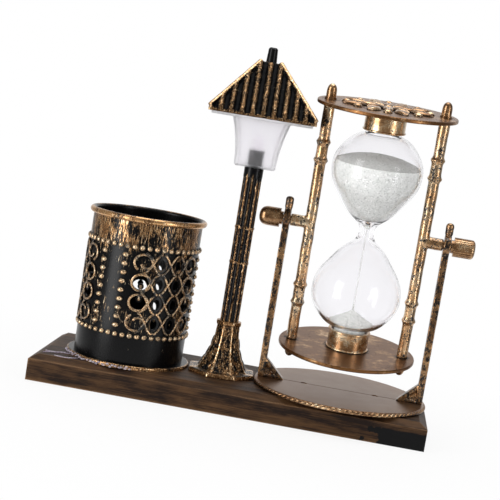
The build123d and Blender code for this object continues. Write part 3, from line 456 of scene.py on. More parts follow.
def dry_brush(finish, lift, weights, cover, stretch=(1, 1, 1), grain=0.6, bright=0.0, gloss=0.14):
    """Gold over what is lifted. The weights are for the lift, broad patches and fine grain, a higher cover leaves
    more black, bright lightens the gold, and gloss lacquers it."""
    patches = finish.noise(2.6, stretch, detail=5)
    fine = finish.noise(grain, stretch, detail=6, roughness=0.7)
    level = finish.total((lift, weights[0]), (patches, weights[1]), (fine, weights[2]))
    brush = finish.total((fine, 1.0), (bright, 0.08))
    return gild(finish, finish.levels(level, cover, cover + 0.12), brush, gloss)


def roof_paint():
    """Roof: black furrows, gold-brown ribs and bright hips and eave."""
    finish = Finish("roof_paint")
    x, y, z = finish.axes(LAMP)
    apart = finish.math("SUBTRACT", finish.math("ABSOLUTE", x), finish.math("ABSOLUTE", y))
    sideways = finish.levels(apart, -0.1 * MM, 0.1 * MM)
    along = finish.math("ADD", x, finish.times(sideways, finish.math("SUBTRACT", y, x)))
    wave = finish.math("COSINE", finish.times(along, 2 * math.pi / RIB_PITCH))
    rib = finish.times(finish.levels(wave, -0.4, 0.8), 0.46)
    hip = finish.levels(finish.math("ABSOLUTE", apart), 1.9 * MM, 1.1 * MM)
    eave = finish.times(finish.levels(z, EAVE_Z + 0.5 * MM, EAVE_Z), 0.40)
    lift = finish.most(rib, hip, eave)
    return dry_brush(finish, lift, weights=(0.40, 0.35, 0.95), cover=0.80, grain=0.45, bright=hip, gloss=0.03)


def post_paint():
    """Post: black flutes with gold along the arrises and seams, black above the flutes."""
    finish = Finish("post_paint")
    x, y, z = finish.axes(LAMP)
    wave = finish.math("COSINE", finish.times(finish.math("ARCTAN2", y, x), FLUTE_COUNT))
    fluted = finish.levels(z, POST_TOP_Z - 1 * MM, POST_TOP_Z - 9 * MM)
    arris = finish.times(finish.levels(wave, 0.1, -0.9), fluted)
    for seam in SEAMS:
        apart = finish.math("ABSOLUTE", finish.math("SUBTRACT", z, seam))
        arris = finish.most(arris, finish.times(finish.levels(apart, 1.0 * MM, 0.5 * MM), 0.8))
    foot = finish.times(finish.levels(z, FOOT_HIGH.z + 12 * MM, FOOT_HIGH.z), 0.16)
    lift = finish.math("ADD", arris, foot)
    return dry_brush(finish, lift, weights=(0.24, 0.5, 0.85), cover=0.82, stretch=(1, 1, 3.5), grain=0.5)


def foot_paint():
    """Foot: mottled gold over black, brightest along its corners and the edge of its plate."""
    finish = Finish("foot_paint")
    x, y, z = finish.axes(LAMP)
    wave = finish.math("COSINE", finish.times(finish.math("ARCTAN2", y, x), FOOT_SIDES))
    corner = finish.levels(wave, -0.80, -0.97)
    low = finish.levels(z, FOOT_LOW.z + 2.6 * MM, FOOT_LOW.z + 1.8 * MM)
    plate = finish.times(low, finish.levels(finish.facing(2), 0.85, 0.55))
    top = finish.levels(z, FOOT_HIGH.z - 2.2 * MM, FOOT_HIGH.z - 1.6 * MM)
    lift = finish.most(corner, plate, top)
    return dry_brush(finish, lift, weights=(0.24, 0.7, 0.7), cover=0.70, stretch=(1, 1, 1.8), grain=0.6, bright=corner)


def peg_paint():
    """Peg: black with a few gold rubs."""
    finish = Finish("peg_paint")
    return dry_brush(finish, finish.edges(0.7), weights=(0.2, 0.5, 0.6), cover=0.78)


def antique_gold(name, brightness, specks, raised=False, grain=1.0, drawn=1.0, tone=0.0, satin=0.0, polish=0.0):
    """Old gold: bronze and gold in patches, rubbed pale in places, with dark specks. Raised keeps the pale rubs to open
    surfaces and crowds the specks into the furrows, where that dark is partly old paint and partly painted shade; drawn
    stretches the patches upwards, tone darkens the gold, satin dulls it and polish lacquers it."""
    finish = Finish(name, {"Specular IOR Level": 0.2, "Coat Weight": polish, "Coat Roughness": 0.16})
    broad = finish.noise(9 * grain, (1, 1, drawn), detail=3)
    patches = finish.noise(2.4 * grain, (1, 1, drawn), detail=5)
    fine = finish.noise(0.55 * grain, (1, 1, drawn), detail=6, roughness=0.7)
    lit = finish.total((broad, 0.7), (patches, 0.6), (fine, 0.4))
    shine = finish.levels(lit, 0.92 - brightness, 1.14 - brightness)
    worn = finish.total((broad, 0.5), (patches, 0.5), (fine, 0.7))
    rubbed = finish.levels(worn, 0.98 - brightness / 2, 1.12 - brightness / 2)
    level = finish.total((patches, 0.8), (fine, 1.0))
    if raised:
        # Dark gathers where the surface is overhung: partly old paint in the furrows, partly painted shade
        brushed_and_lit_share = finish.open_to_brush_and_light(3.0)
        rubbed = finish.times(rubbed, brushed_and_lit_share)
        level = finish.total((level, 1.0), (brushed_and_lit_share, -0.35), (1.0, 0.25))
    dark = finish.levels(level, 1.04 - specks, 1.12 - specks)
    gold = finish.mix(shine, opaque("bronze"), opaque("gold"))
    gold = finish.mix(rubbed, gold, opaque("pale"))
    gold = finish.mix(tone, gold, opaque("umber"))
    finish.wire(finish.mix(dark, gold, opaque("umber")), "Base Color")
    finish.wire(finish.total((dark, -0.7), (1.0, 0.9)), "Metallic")
    finish.wire(finish.total((fine, 0.2), (dark, 0.15), (rubbed, -0.05), (1.0, 0.16 + satin)), "Roughness")
    finish.bump(finish.total((patches, 0.7), (fine, 0.1), (dark, -0.2)), 0.07 * grain)
    return finish.material


def satin_bronze():
    """Stand plate: dark bronze with a fine grain and a satin sheen."""
    finish = Finish("satin_bronze", {"Metallic": 0.75, "Specular IOR Level": 0.2})
    fine = finish.noise(0.6, detail=6, roughness=0.75)
    broad = finish.noise(11, detail=3)
    light = finish.levels(finish.total((fine, 0.9), (broad, 0.5)), 0.56, 0.92)
    finish.wire(finish.mix(light, opaque("bronze"), (0.26, 0.17, 0.110, 1)), "Base Color")
    finish.wire(finish.total((fine, 0.2), (1.0, 0.23)), "Roughness")
    finish.bump(fine, 0.04)
    return finish.material


def stained_board():
    """Dark stained wood with its grain along the board, bare where the edges are worn, one end painted black."""
    finish = Finish("stained_board", {"Specular IOR Level": 0.16})
    x, _, z = finish.axes()
    fibres = finish.noise(0.5, (30, 1, 1), detail=6, roughness=0.65)
    bands = finish.noise(3.4, (16, 1, 1), detail=3)
    clouds = finish.noise(7, (2.5, 1, 1), detail=5)
    level = finish.total((fibres, 0.5), (bands, 0.45), (clouds, 0.55))
    wood = finish.mix(finish.levels(level, 0.66, 0.86), opaque("stain"), opaque("timber"))
    lines = finish.levels(finish.total((bands, 0.6), (fibres, 0.5)), 0.44, 0.40)
    wood = finish.mix(lines, wood, opaque("stain"))
    rough = finish.levels(finish.total((fibres, 0.7), (bands, 0.8)), 0.62, 0.85)
    worn = finish.times(finish.edges(1.4), rough)
    wood = finish.mix(worn, wood, opaque("bare"))
    ragged = finish.total((x, 1.0), (finish.noise(5, detail=6), PAINT_RAGGED))
    start = PAINT_FROM + PAINT_RAGGED / 2
    waved = finish.total((z, 1.0), (finish.noise(4, (4, 1, 1)), PAINT_WAVE))
    end = PAINT_HIGH + PAINT_WAVE / 2
    patch = finish.times(
        finish.levels(ragged, start, start + 1.5 * MM),
        finish.levels(finish.facing(1), -0.6, -0.9),
        finish.levels(waved, end, end - 0.5 * MM),
    )
    finish.wire(finish.mix(patch, wood, opaque("black")), "Base Color")
    finish.wire(finish.total((fibres, 0.3), (worn, 0.2), (1.0, 0.36)), "Roughness")
    finish.bump(level, 0.35)
    return finish.material


def blown_glass():
    """Clear glass with faint ripples."""
    finish = Finish("blown_glass", {"Transmission Weight": 1.0, "IOR": 1.22, "Base Color": (0.965, 0.960, 0.974, 1)})
    finish.wire(finish.levels(finish.noise(20), -1.6, 24.0), "Roughness")
    finish.bump(finish.noise(16, detail=2), 0.12)
    return finish.material


def white_sand():
    """Loose white grains, some of them bright; the falling thread of grains lets the light through."""
    finish = Finish("white_sand")
    grain = finish.cells(0.5)
    body = finish.mix(finish.levels(finish.noise(6), 0.3, 0.7), (0.45, 0.46, 0.44, 1), opaque("sand"))
    body = finish.mix(finish.levels(grain, 0.22, 0.0), body, (0.30, 0.31, 0.295, 1))
    finish.wire(finish.mix(finish.levels(grain, 0.86, 1.0), body, (0.72, 0.72, 0.70, 1)), "Base Color")
    finish.wire(finish.levels(grain, 1.3, -0.2), "Roughness")
    x, y, z = finish.axes(CAGE)
    wide = finish.levels(finish.reach(x, y), SAND_THREAD_R, SAND_THREAD_R + 0.4 * MM)
    heaped = finish.levels(z, SAND_HEAP_TOP, SAND_HEAP_TOP - 1 * MM)
    finish.wire(finish.total((finish.most(wide, heaped), 0.75), (1.0, 0.25)), "Alpha")
    finish.bump(grain, 0.25)
    return finish.material


def frosted_shade():
    """Translucent white plastic with a faint mottle."""
    finish = Finish("frosted_shade", {"Transmission Weight": 0.975, "IOR": 1.25, "Specular IOR Level": 0.3})
    mottle = finish.noise(5)
    finish.wire(finish.mix(finish.levels(mottle, 0.3, 0.7), opaque("shade"), (0.97, 0.96, 0.975, 1)), "Base Color")
    finish.wire(finish.levels(mottle, -1.2, 3.0), "Roughness")
    finish.bump(finish.noise(0.8), 0.05)
    return finish.material


def clear_lens():
    """Water-clear resin with a faint haze."""
    finish = Finish("clear_lens", {"Transmission Weight": 0.95, "IOR": 1.12, "Base Color": (0.96, 0.93, 0.96, 1)})
    finish.wire(finish.levels(finish.noise(1.5), -0.2, 4.0), "Roughness")
    return finish.material


def moulded(name, tint):
    """Moulded plastic with a fine spark-eroded grain."""
    finish = Finish(name)
    grain = finish.noise(0.35, detail=3)
    light = tuple(min(1.0, part * 1.35 + 0.012) for part in tint[:3]) + (1.0,)
    finish.wire(finish.mix(finish.levels(finish.noise(4), 0.3, 0.7), tint, light), "Base Color")
    finish.wire(finish.total((grain, 0.3), (1.0, 0.3)), "Roughness")
    finish.bump(grain, 0.03)
    return finish.material


def plated_steel():
    """Plated steel with turning marks and a few dull spots."""
    finish = Finish("plated_steel", {"Metallic": 1.0})
    marks = finish.noise(0.25, (1, 1, 8), detail=5)
    spots = finish.levels(finish.noise(1.5), 0.5, 0.75)
    finish.wire(finish.mix(spots, opaque("steel"), (0.35, 0.34, 0.33, 1)), "Base Color")
    finish.wire(finish.total((marks, 0.25), (spots, 0.2), (1.0, 0.15)), "Roughness")
    finish.bump(marks, 0.02)
    return finish.material


def set_glue():
    """Clear glue that has set, slightly violet."""
    finish = Finish("set_glue", {"Transmission Weight": 0.55, "IOR": 1.48})
    cloudy = finish.levels(finish.noise(2), 0.35, 0.65)
    finish.wire(finish.mix(cloudy, opaque("glue"), (0.85, 0.8, 0.86, 1)), "Base Color")
    finish.wire(finish.levels(finish.noise(1.2), -0.2, 2.2), "Roughness")
    finish.bump(finish.noise(0.9), 0.1)
    return finish.material


def coat(material, slot, *names):
    """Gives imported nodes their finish."""
    for name in names:
        NODES[name].data.materials.clear()
        NODES[name].data.materials.append(material)


def piece(name, mesh, body, material):
    """Puts a new mesh in the scene, on a body, smooth and with its finish."""
    mesh.name = name
    made = bpy.data.objects.new(name, mesh)
    bpy.context.scene.collection.objects.link(made)
    mesh.materials.append(material)
    mesh.shade_smooth()
    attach(made, body)


def tubes(paths, radius, closed=False):
    """Mesh of round wires along lists of points."""
    curve = bpy.data.curves.new("wires", "CURVE")
    curve.dimensions = "3D"
    curve.bevel_depth = radius
    curve.bevel_resolution = 2
    curve.use_fill_caps = not closed
    for path in paths:
        spline = curve.splines.new("POLY")
        spline.points.add(len(path) - 1)
        for point, place in zip(spline.points, path):
            point.co = (*place, 1.0)
        spline.use_cyclic_u = closed
    holder = bpy.data.objects.new("wires", curve)
    mesh = bpy.data.meshes.new_from_object(holder)
    bpy.data.objects.remove(holder)
    bpy.data.curves.remove(curve)
    return mesh


def ball(shape, rings, place):
    """Adds a ball of radius 1, moved and stretched by a matrix, to a mesh that is being made."""
    return bmesh.ops.create_uvsphere(shape, u_segments=2 * rings, v_segments=rings, radius=1.0, matrix=place)["verts"]


def finished_mesh(name, shape):
    """The mesh that has been made."""
    mesh = bpy.data.meshes.new(name)
    shape.to_mesh(mesh)
    shape.free()
    return mesh


def domes(places, wide, tall, high, rings=6):
    """Mesh of flattened balls, each at a (point, outward direction), with half sizes across, along and outward."""
    shape = bmesh.new()
    for point, outward in places:
        across = UP.cross(outward) if abs(outward.z) < 0.9 else Vector((1, 0, 0))
        across = (across - outward * across.dot(outward)).normalized()
        turn = Matrix((across, outward.cross(across), outward)).transposed().to_4x4()
        ball(shape, rings, Matrix.Translation(point) @ turn @ Matrix.Diagonal((wide, tall, high, 1)))
    return finished_mesh("domes", shape)


def leaves(places):
    """Mesh of pointed leaves; each place is a frame whose x runs along the leaf, and its length, width and height."""
    shape = bmesh.new()
    lying = Matrix.Rotation(math.pi / 2, 4, "Y")
    for place, long, wide, high in places:
        for vert in ball(shape, 12, lying):
            along, across, lift = vert.co
            taper = (1 - abs(along) ** 1.6) ** 0.35 if abs(along) < 1 else 0.0
            vein = 0.55 + 0.45 * min(1.0, abs(across) / 0.35)
            curl = 0.11 * along * along
            vert.co = place @ Vector((along * long / 2, across * taper * wide / 2, (lift * vein + curl) * high))
    return finished_mesh("leaves", shape)


def cast(name, voxel, dent, grain):
    """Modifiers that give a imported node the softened, slightly dented skin of a casting."""
    node = NODES[name]
    remesh = node.modifiers.new("skin", "REMESH")
    remesh.mode = "VOXEL"
    remesh.voxel_size = voxel
    remesh.use_smooth_shade = True
    soften = node.modifiers.new("soften", "SMOOTH")
    soften.factor = 0.5
    soften.iterations = 2
    cloud = bpy.data.textures.new(name + "_dents", "CLOUDS")
    cloud.noise_scale = grain
    cloud.noise_depth = 2
    dents = node.modifiers.new("dents", "DISPLACE")
    dents.texture = cloud
    dents.texture_coords = "LOCAL"
    dents.mid_level = 0.5
    dents.strength = dent


def on_cup(turn, height, lift=0.0):
    """Point on the cup's wall at an angle in degrees and a height, and the outward direction there."""
    outward = polar(math.radians(turn))
    return CUP_CENTRE + outward * (sizes().cup_radius + lift) + UP * height, outward


def round_cup(turn, height, flat):
    """A flat outline, in metres, wrapped on the cup's wall as (point, outward direction) pairs."""
    degree = math.degrees(1 / sizes().cup_radius)
    return [on_cup(turn + across * degree, height + rise, RIM_LIFT) for across, rise in flat]


def panel_rows():
    """Heights of the openings in a panel, each with the side its tongue comes from."""
    for row in range(PANEL_ROWS):
        rise = (row - (PANEL_ROWS - 1) / 2) * PANEL_ROW_PITCH
        yield PANEL_MIDDLE + rise, -1 if rise > 0 else 1


def ringed_scroll(tongue):
    """Rim of a pierced scroll: once round it, then down its tongue."""
    steps = 28
    loop = []
    for step in range(steps + 1):
        turn = tongue * math.pi / 2 + 2 * math.pi * (step % steps) / steps
        loop.append((math.cos(turn) * (SCROLL_W + BORDER_W) / 2, math.sin(turn) * (SCROLL_H + BORDER_W) / 2))
    return loop + [(0, tongue * (SCROLL_TONGUE_DROP + SCROLL_TONGUE_L)), (0, tongue * SCROLL_TONGUE_DROP)]


def curled_scroll(tongue, hand):
    """Rim of a blind scroll: round its ring from the open side, then wound inwards."""
    steps, wound_from, wound_by = 34, 22, 0.62
    path = []
    for step in range(steps):
        turn = math.radians(32 + 11 * step)
        reach = 1.0 - wound_by * max(0.0, step - wound_from) / (steps - 1 - wound_from)
        across = hand * math.sin(turn) * reach * (SCROLL_W + BORDER_W) / 2
        path.append((across, tongue * math.cos(turn) * reach * (SCROLL_H + BORDER_W) / 2))
    return path


def stud_rows(pitch):
    """Places of the studs in the two rows round the cup."""
    count = round(2 * math.pi * sizes().cup_radius / pitch)
    return [on_cup(360 * step / count, height) for height in (STUD_ROW_LOW, STUD_ROW_HIGH) for step in range(count)]


def stud_columns(pitch):
    """Places of the studs in the columns along the plain strips between the panels."""
    tall = STUD_ROW_HIGH - STUD_ROW_LOW
    count = round(tall / pitch)
    places = []
    for centre in PANEL_CENTRES:
        for edge in (-STRIP_HALF, STRIP_HALF):
            for step in range(1, count):
                places.append(on_cup(centre + STRIP_ASIDE + edge, STUD_ROW_LOW + tall * step / count))
    return places


def scroll_rims():
    """Rims of all the scrolls, as (point, outward direction) pairs."""
    rims = []
    for centre in PANEL_CENTRES:
        for side in (-1, 1):
            for height, tongue in panel_rows():
                pierced = abs(height - PANEL_MIDDLE) < PANEL_ROW_PITCH
                flat = ringed_scroll(tongue) if pierced else curled_scroll(tongue, side)
                rims.append(round_cup(centre + side * SCROLL_ANGLE, height, flat))
    return rims


def stem_paths():
    """Paths of the stems that cross between the leaves, each a soft S."""
    half = 8
    paths = []
    for centre in PANEL_CENTRES:
        for crossing in (-CROSSING_ANGLE, 0, CROSSING_ANGLE):
            for height, _ in panel_rows():
                for slope in (-1, 1):
                    path = []
                    for step in range(-half, half + 1):
                        share = step / half
                        swing = slope * share * (1.5 - 0.5 * share * share)
                        turn = centre + crossing + STEM_HALF_ANGLE * share
                        path.append(on_cup(turn, height + STEM_HALF_RISE * swing, RIM_LIFT)[0])
                    paths.append(path)
    return paths


def glue_beads():
    """Places of the beads of glue along the foot of the cup."""
    draw = random.Random(GLUE_SEED)
    places = []
    for step in range(GLUE_BEADS):
        turn = math.radians(GLUE_FROM + GLUE_STEP * step + draw.uniform(-1, 1))
        reach = CUP_FLANGE_R + draw.uniform(-0.2, 0.7) * MM
        rise = BOARD_HIGH.z + draw.uniform(0.2, 1.3) * MM
        places.append((CUP_CENTRE + polar(turn, reach, rise), UP))
    return places


def glue_strings():
    """Paths of the strings of glue, each in a bow from the foot of the cup outwards."""
    steps = 12
    paths = []
    for start, run, bow in GLUE_STRINGS:
        first = CUP_CENTRE + polar(math.radians(start), CUP_FLANGE_R)
        last = first + Vector((*run, 0)) * MM
        last.x = max(last.x, BOARD_LOW.x + GLUE_MARGIN)
        last.y = max(last.y, BOARD_LOW.y + GLUE_MARGIN)
        side = Vector((-run[1], run[0], 0)).normalized() * bow * MM
        lift = UP * (BOARD_HIGH.z + GLUE_STRING_LIFT)
        shares = [step / steps for step in range(steps + 1)]
        paths.append([first.lerp(last, share) + side * math.sin(math.pi * share) + lift for share in shares])
    return paths


class DESKSET_OT_board(Operator):
    """Finish the wooden board and the glue left on it"""

    bl_idname = "desk_set.board"
    bl_label = "Board"

    def execute(self, context):
        coat(stained_board(), "board_wood", "base_board")
        glue = set_glue()
        piece("glue_beads", domes(glue_beads(), 0.8 * MM, 0.8 * MM, 0.5 * MM), "stand", glue)
        piece("glue_strings", tubes(glue_strings(), GLUE_STRING_R), "stand", glue)
        return {"FINISHED"}


class DESKSET_OT_pen_cup(Operator):
    """Paint the pen cup and add its studs, scroll rims and stems"""

    bl_idname = "desk_set.pen_cup"
    bl_label = "Pen cup"

    def execute(self, context):
        size = sizes()
        slot = "black_gold_metal"
        coat(brushed_cup_paint(), slot, "pen_cup_wall")
        coat(flange_paint(), slot, "pen_cup_floor")
        # Both ornament finishes leave black in the corners round each stud and rim: partly missed paint, partly painted
        # shade
        bright = gilded_ornament("stud_gold", cover=0.98, bright=0.11)
        worn = gilded_ornament("scroll_gold", cover=1.06, bright=0.08)
        stud = size.stud_radius
        rows = domes(stud_rows(size.row_pitch), stud, 0.9 * stud, 0.9 * stud)
        columns = domes(stud_columns(size.column_pitch), 1.2 * stud, 0.85 * stud, 0.9 * stud)
        rims = scroll_rims()
        scrolls = tubes([[point for point, _ in rim] for rim in rims], size.scroll_wire)
        tips = domes([rim[-1] for rim in rims], 0.8 * MM, 0.8 * MM, 0.6 * MM)
        piece("cup_stud_rows", rows, "stand", bright)
        piece("cup_stud_columns", columns, "stand", bright)
        piece("cup_scrolls", scrolls, "stand", worn)
        piece("cup_scroll_tips", tips, "stand", worn)
        piece("cup_stems", tubes(stem_paths(), size.stem_wire), "stand", worn)
        return {"FINISHED"}


def foot_sprays():
    """Frames for the raised leaves on the faces of the lamp's foot, found by reaching out to the solid."""
    mesh = NODES["lamp_foot"].data
    skin = BVHTree.FromPolygons([vert.co for vert in mesh.vertices], [face.vertices for face in mesh.polygons])
    places = []
    for face in range(FOOT_SIDES):
        for height, long, wide, aside, lean in FOOT_LEAVES:
            turn = LAMP_TURN + math.radians(360 / FOOT_SIDES * face + aside)
            outward = polar(turn)
            start = LAMP_CENTRE + UP * (FOOT_LOW.z + height * MM) + outward * FOOT_CLEAR
            point, normal, _, _ = skin.ray_cast(start, -outward)
            across = UP.cross(normal).normalized()
            frame_of_face = Matrix((normal.cross(across), -across, normal)).transposed().to_4x4()
            place = Matrix.Translation(point) @ frame_of_face @ Matrix.Rotation(math.radians(lean), 4, "Z")
            places.append((place, long * MM, wide * MM, FOOT_LEAF_HIGH))
    return places


class DESKSET_OT_lamp(Operator):
    """Paint the street lamp, frost its shade and finish its light"""

    bl_idname = "desk_set.lamp"
    bl_label = "Street lamp"

    def execute(self, context):
        slot = "black_gold_metal"
        cast("lamp_roof", voxel=0.42 * MM, dent=sizes().dent, grain=3.5 * MM)
        cast("lamp_foot", voxel=0.45 * MM, dent=sizes().dent, grain=3.0 * MM)
        coat(roof_paint(), slot, "lamp_roof")
        foot = foot_paint()
        coat(foot, slot, "lamp_foot")
        coat(post_paint(), slot, "lamp_post")
        coat(peg_paint(), slot, "lamp_peg")
        piece("foot_leaf_relief", leaves(foot_sprays()), "stand", foot)
        coat(frosted_shade(), "frosted_shade", "lamp_shade")
        coat(moulded("holder_plastic", opaque("black")), "led_holder_plastic", "led_holder")
        coat(clear_lens(), "led_lens", "led")
        coat(moulded("wire_sleeve", opaque("sleeve")), "wire_sleeve", "lamp_wires")
        return {"FINISHED"}


def rope_strands(twists):
    """Two strands that wind round each other along the edge of the stand's plate."""
    steps = 8 * twists
    strands = []
    for strand in range(2):
        path = []
        for step in range(steps):
            turn = 2 * math.pi * step / steps
            twist = twists * turn + math.pi * strand
            reach = PLATE_R - ROPE_SINK + ROPE_COIL_R * math.cos(twist)
            path.append(PLATE_MIDDLE + polar(turn, reach, ROPE_COIL_R * math.sin(twist)))
        strands.append(path)
    return strands


def rivet_heads():
    """Places of the rivet heads on the front and the back of both gussets."""
    places = []
    for edge, inward in ((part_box("left_upright")[1].x, 1), (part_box("right_upright")[0].x, -1)):
        for front in (-1, 1):
            point = Vector((edge - inward * RIVET_IN, front * RIVET_FRONT, PLATE_TOP + RIVET_RISE))
            places.append((point, Vector((0, front, 0))))
    return places


class DESKSET_OT_stand(Operator):
    """Gild the hourglass stand and add its rope edge and rivet heads"""

    bl_idname = "desk_set.stand"
    bl_label = "Hourglass stand"

    def execute(self, context):
        slot = "antique_gold_metal"
        for side in ("left", "right"):
            cast(side + "_upright", voxel=0.4 * MM, dent=0.8 * sizes().dent, grain=2.5 * MM)
        upright_gold = antique_gold("upright_gold", brightness=0.24, specks=0.20, grain=0.8, drawn=1.6, polish=0.5)
        # The raised rope finish darkens the rope's furrows: partly old paint, partly painted shade
        rope_gold = antique_gold("rope_gold", brightness=0.16, specks=0.10, raised=True, tone=0.1, polish=0.4)
        coat(upright_gold, slot, "left_upright", "right_upright")
        coat(satin_bronze(), slot, "stand_plate")
        rope = tubes(rope_strands(sizes().rope_twists), ROPE_STRAND_R, closed=True)
        heads = domes(rivet_heads(), 1.0 * MM, 1.0 * MM, 0.7 * MM)
        piece("plate_rope_edge", rope, "stand", rope_gold)
        piece("gusset_rivet_heads", heads, "stand", upright_gold)
        return {"FINISHED"}


def relief_places(face):
    """Leaves of the relief on a disc's outer face, and its buds, one in the middle and the rest in a ring."""
    count, high = sizes().relief_leaves, sizes().relief_height
    outward = face.to_3x3() @ UP
    sprays, buds = [], [(face.translation, outward)]
    for reach, long, wide, offset in RELIEF_RINGS:
        for step in range(count):
            turn = Matrix.Rotation(2 * math.pi * (step + offset) / count, 4, "Z")
            out = face @ turn @ Matrix.Translation((reach * MM, 0, 0))
            sprays.append((out, long * MM, wide * MM, high))
    for step in range(count):
        buds.append((face @ polar(2 * math.pi * step / count, BUD_REACH), outward))
    return sprays, buds


class DESKSET_OT_cage(Operator):
    """Gild the turning cage with its posts, discs, collars, nuts and thumb screws, and add the leaf relief"""

    bl_idname = "desk_set.cage"
    bl_label = "Hourglass cage"

    def execute(self, context):
        slot = "antique_gold_metal"
        for side in ("left", "right"):
            cast(side + "_post", voxel=0.36 * MM, dent=1.4 * sizes().dent, grain=7 * MM)
        post_gold = antique_gold("post_gold", brightness=0.34, specks=0.14, drawn=1.6, polish=0.8)
        # The raised disc and relief finishes darken the furrows round the leaves: partly old paint, partly painted
        # shade
        disc_gold = antique_gold("disc_gold", brightness=0.06, specks=0.12, raised=True, grain=1.3, satin=0.08)
        collar_gold = antique_gold("collar_gold", brightness=0.34, specks=0.06, polish=0.6)
        screw_gold = antique_gold("screw_gold", brightness=0.20, specks=0.04, tone=0.1, polish=0.5)
        relief_gold = antique_gold("relief_gold", brightness=0.22, specks=0.08, raised=True, polish=0.5)
        coat(post_gold, slot, "left_post", "right_post")
        coat(disc_gold, slot, "top_disc", "bottom_disc")
        coat(collar_gold, slot, "top_collar", "bottom_collar")
        coat(screw_gold, slot, "left_pivot_screw", "right_pivot_screw", "acorn_nuts")
        for side, end in ((1, "top"), (-1, "bottom")):
            face = CAGE @ Matrix.Diagonal((1, side, side, 1)) @ Matrix.Translation(UP * DISC_OUTER)
            sprays, buds = relief_places(face)
            piece(end + "_leaf_relief", leaves(sprays), "hourglass", relief_gold)
            piece(end + "_relief_buds", domes(buds, 2.3 * MM, 2.3 * MM, 1.7 * MM, 8), "hourglass", relief_gold)
        return {"FINISHED"}


class DESKSET_OT_glass(Operator):
    """Finish the blown glass and the sand in it"""

    bl_idname = "desk_set.glass"
    bl_label = "Glass and sand"

    def execute(self, context):
        coat(blown_glass(), "clear_glass", "glass_bulb")
        NODES["glass_bulb"].visible_shadow = False
        coat(white_sand(), "white_sand", "upper_sand", "lower_sand")
        return {"FINISHED"}


class DESKSET_OT_underside(Operator):
    """Finish the battery tray, its door, the switch, the cell and the hidden fasteners"""

    bl_idname = "desk_set.underside"
    bl_label = "Underside"

    def execute(self, context):
        plastic = moulded("tray_plastic", opaque("black"))
        steel = plated_steel()
        coat(plastic, "black_plastic", "battery_tray", "battery_door", "switch_body", "switch_slider")
        coat(steel, "bright_steel", "door_screw", "coin_cell", "battery_contacts", "stand_screws", "upright_rivets")
        return {"FINISHED"}


def soft_box(name, place, wide, tall, power):
    """A studio light aimed at the middle of the set."""
    data = bpy.data.lights.new(name, "AREA")
    data.shape = "RECTANGLE"
    data.size = wide
    data.size_y = tall
    data.energy = power
    lamp = bpy.data.objects.new(name, data)
    lamp.location = place
    lamp.rotation_euler = (LIGHT_AIM - Vector(place)).to_track_quat("-Z", "Y").to_euler()
    bpy.context.scene.collection.objects.link(lamp)


def white_world(strength):
    """Soft light from all round. The camera and the glass see plain white, and so does metal that mirrors what is
    nearly straight behind the set."""
    world = bpy.data.worlds.new("studio")
    bpy.context.scene.world = world
    world.use_nodes = True
    nodes = Nodes(world.node_tree)
    light = nodes.tree.nodes["Background"]
    light.inputs["Color"].default_value = WHITE
    light.inputs["Strength"].default_value = strength
    white = nodes.node("Background", {"Color": WHITE, "Strength": 1.0}).outputs[0]
    rays = nodes.node("LightPath").outputs
    direction = nodes.node("SeparateXYZ", {0: nodes.node("TexCoord").outputs["Generated"]}).outputs
    mirrored = nodes.times(rays["Is Glossy Ray"], nodes.levels(direction["Y"], MIRRORED_FROM, MIRRORED_FULL))
    seen = nodes.most(rays["Is Camera Ray"], rays["Is Transmission Ray"], mirrored)
    blend = nodes.node("MixShader", {0: seen, 1: light.outputs[0], 2: white}).outputs[0]
    nodes.tree.links.new(blend, nodes.tree.nodes["World Output"].inputs["Surface"])


def floor_sheet():
    """Matt pale sheet that keeps the set's soft shadow and is seen nearly white, fully so at its edge."""
    finish = Finish("studio_floor", {"Roughness": 0.9, "Base Color": opaque("floor")})
    finish.bump(finish.noise(30), 0.05)
    rays = finish.node("LightPath").outputs
    seen = finish.most(rays["Is Camera Ray"], rays["Is Glossy Ray"], rays["Is Transmission Ray"])
    away = finish.node("VectorMath", {0: finish.place}, operation="LENGTH").outputs["Value"]
    fade = finish.levels(away, FLOOR_SHADOW_R, FLOOR_R - 10 * MM)
    share = finish.times(seen, finish.total((fade, 1 - FLOOR_WHITE), (1.0, FLOOR_WHITE)))
    white = finish.node("Emission", {"Color": WHITE, "Strength": 1.0}).outputs[0]
    blend = finish.node("MixShader", {0: share, 1: finish.shader.outputs[0], 2: white}).outputs[0]
    finish.tree.links.new(blend, finish.tree.nodes["Material Output"].inputs["Surface"])
    return finish.material


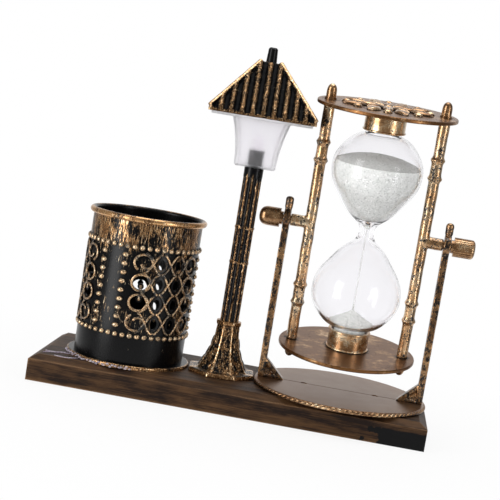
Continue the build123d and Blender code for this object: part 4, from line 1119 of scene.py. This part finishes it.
class DESKSET_OT_stage(Operator):
    """Set up the floor, the lights and the camera"""

    bl_idname = "desk_set.stage"
    bl_label = "Stage"

    def execute(self, context):
        scene = context.scene
        stage = scene.desk_set_stage
        shape = bmesh.new()
        bmesh.ops.create_circle(shape, cap_ends=True, segments=64, radius=FLOOR_R)
        mesh = finished_mesh("studio_floor", shape)
        mesh.materials.append(floor_sheet())
        floor = bpy.data.objects.new("studio_floor", mesh)
        floor.location.z = BOARD_LOW.z - FLOOR_DROP
        scene.collection.objects.link(floor)
        for light in LIGHTS:
            soft_box(*light)
        white_world(stage.daylight)
        scene.view_settings.view_transform = "Standard"
        data = bpy.data.cameras.new("camera")
        data.sensor_width = 36.0
        data.lens = stage.camera_lens
        camera = bpy.data.objects.new("camera", data)
        scene.collection.objects.link(camera)
        camera.matrix_world = (
            Matrix.Translation(stage.camera_place)
            @ Matrix.Rotation(stage.camera_yaw, 4, "Z")
            @ Matrix.Rotation(math.pi / 2 - stage.camera_pitch, 4, "X")
            @ Matrix.Rotation(stage.camera_roll, 4, "Z")
        )
        scene.camera = camera
        return {"FINISHED"}


OPERATORS = (
    DESKSET_OT_stage,
    DESKSET_OT_board,
    DESKSET_OT_pen_cup,
    DESKSET_OT_lamp,
    DESKSET_OT_stand,
    DESKSET_OT_cage,
    DESKSET_OT_glass,
    DESKSET_OT_underside,
)


class DESKSET_PT_panel(Panel):
    """Sizes, colours and steps of the desk set"""

    bl_label = "Desk set"
    bl_space_type = "VIEW_3D"
    bl_region_type = "UI"
    bl_category = "Desk set"

    def draw(self, context):
        for group in ("desk_set_sizes", "desk_set_colours", "desk_set_stage"):
            settings = getattr(context.scene, group)
            column = self.layout.column(align=True)
            for name in settings.__annotations__:
                column.prop(settings, name)
        for operator in OPERATORS:
            self.layout.operator(operator.bl_idname)


CLASSES = (DeskSetSizes, DeskSetColours, DeskSetStage, *OPERATORS, DESKSET_PT_panel)


def register():
    """Adds the classes and the settings to Blender."""
    for item in CLASSES:
        bpy.utils.register_class(item)
    bpy.types.Scene.desk_set_sizes = PointerProperty(type=DeskSetSizes)
    bpy.types.Scene.desk_set_colours = PointerProperty(type=DeskSetColours)
    bpy.types.Scene.desk_set_stage = PointerProperty(type=DeskSetStage)


def unregister():
    """Takes the classes and the settings out again."""
    del bpy.types.Scene.desk_set_stage
    del bpy.types.Scene.desk_set_colours
    del bpy.types.Scene.desk_set_sizes
    for item in reversed(CLASSES):
        bpy.utils.unregister_class(item)


def main():
    """Builds the whole scene."""
    register()
    for operator in OPERATORS:
        group, name = operator.bl_idname.split(".")
        getattr(getattr(bpy.ops, group), name)()


if __name__ == "__main__":
    main()
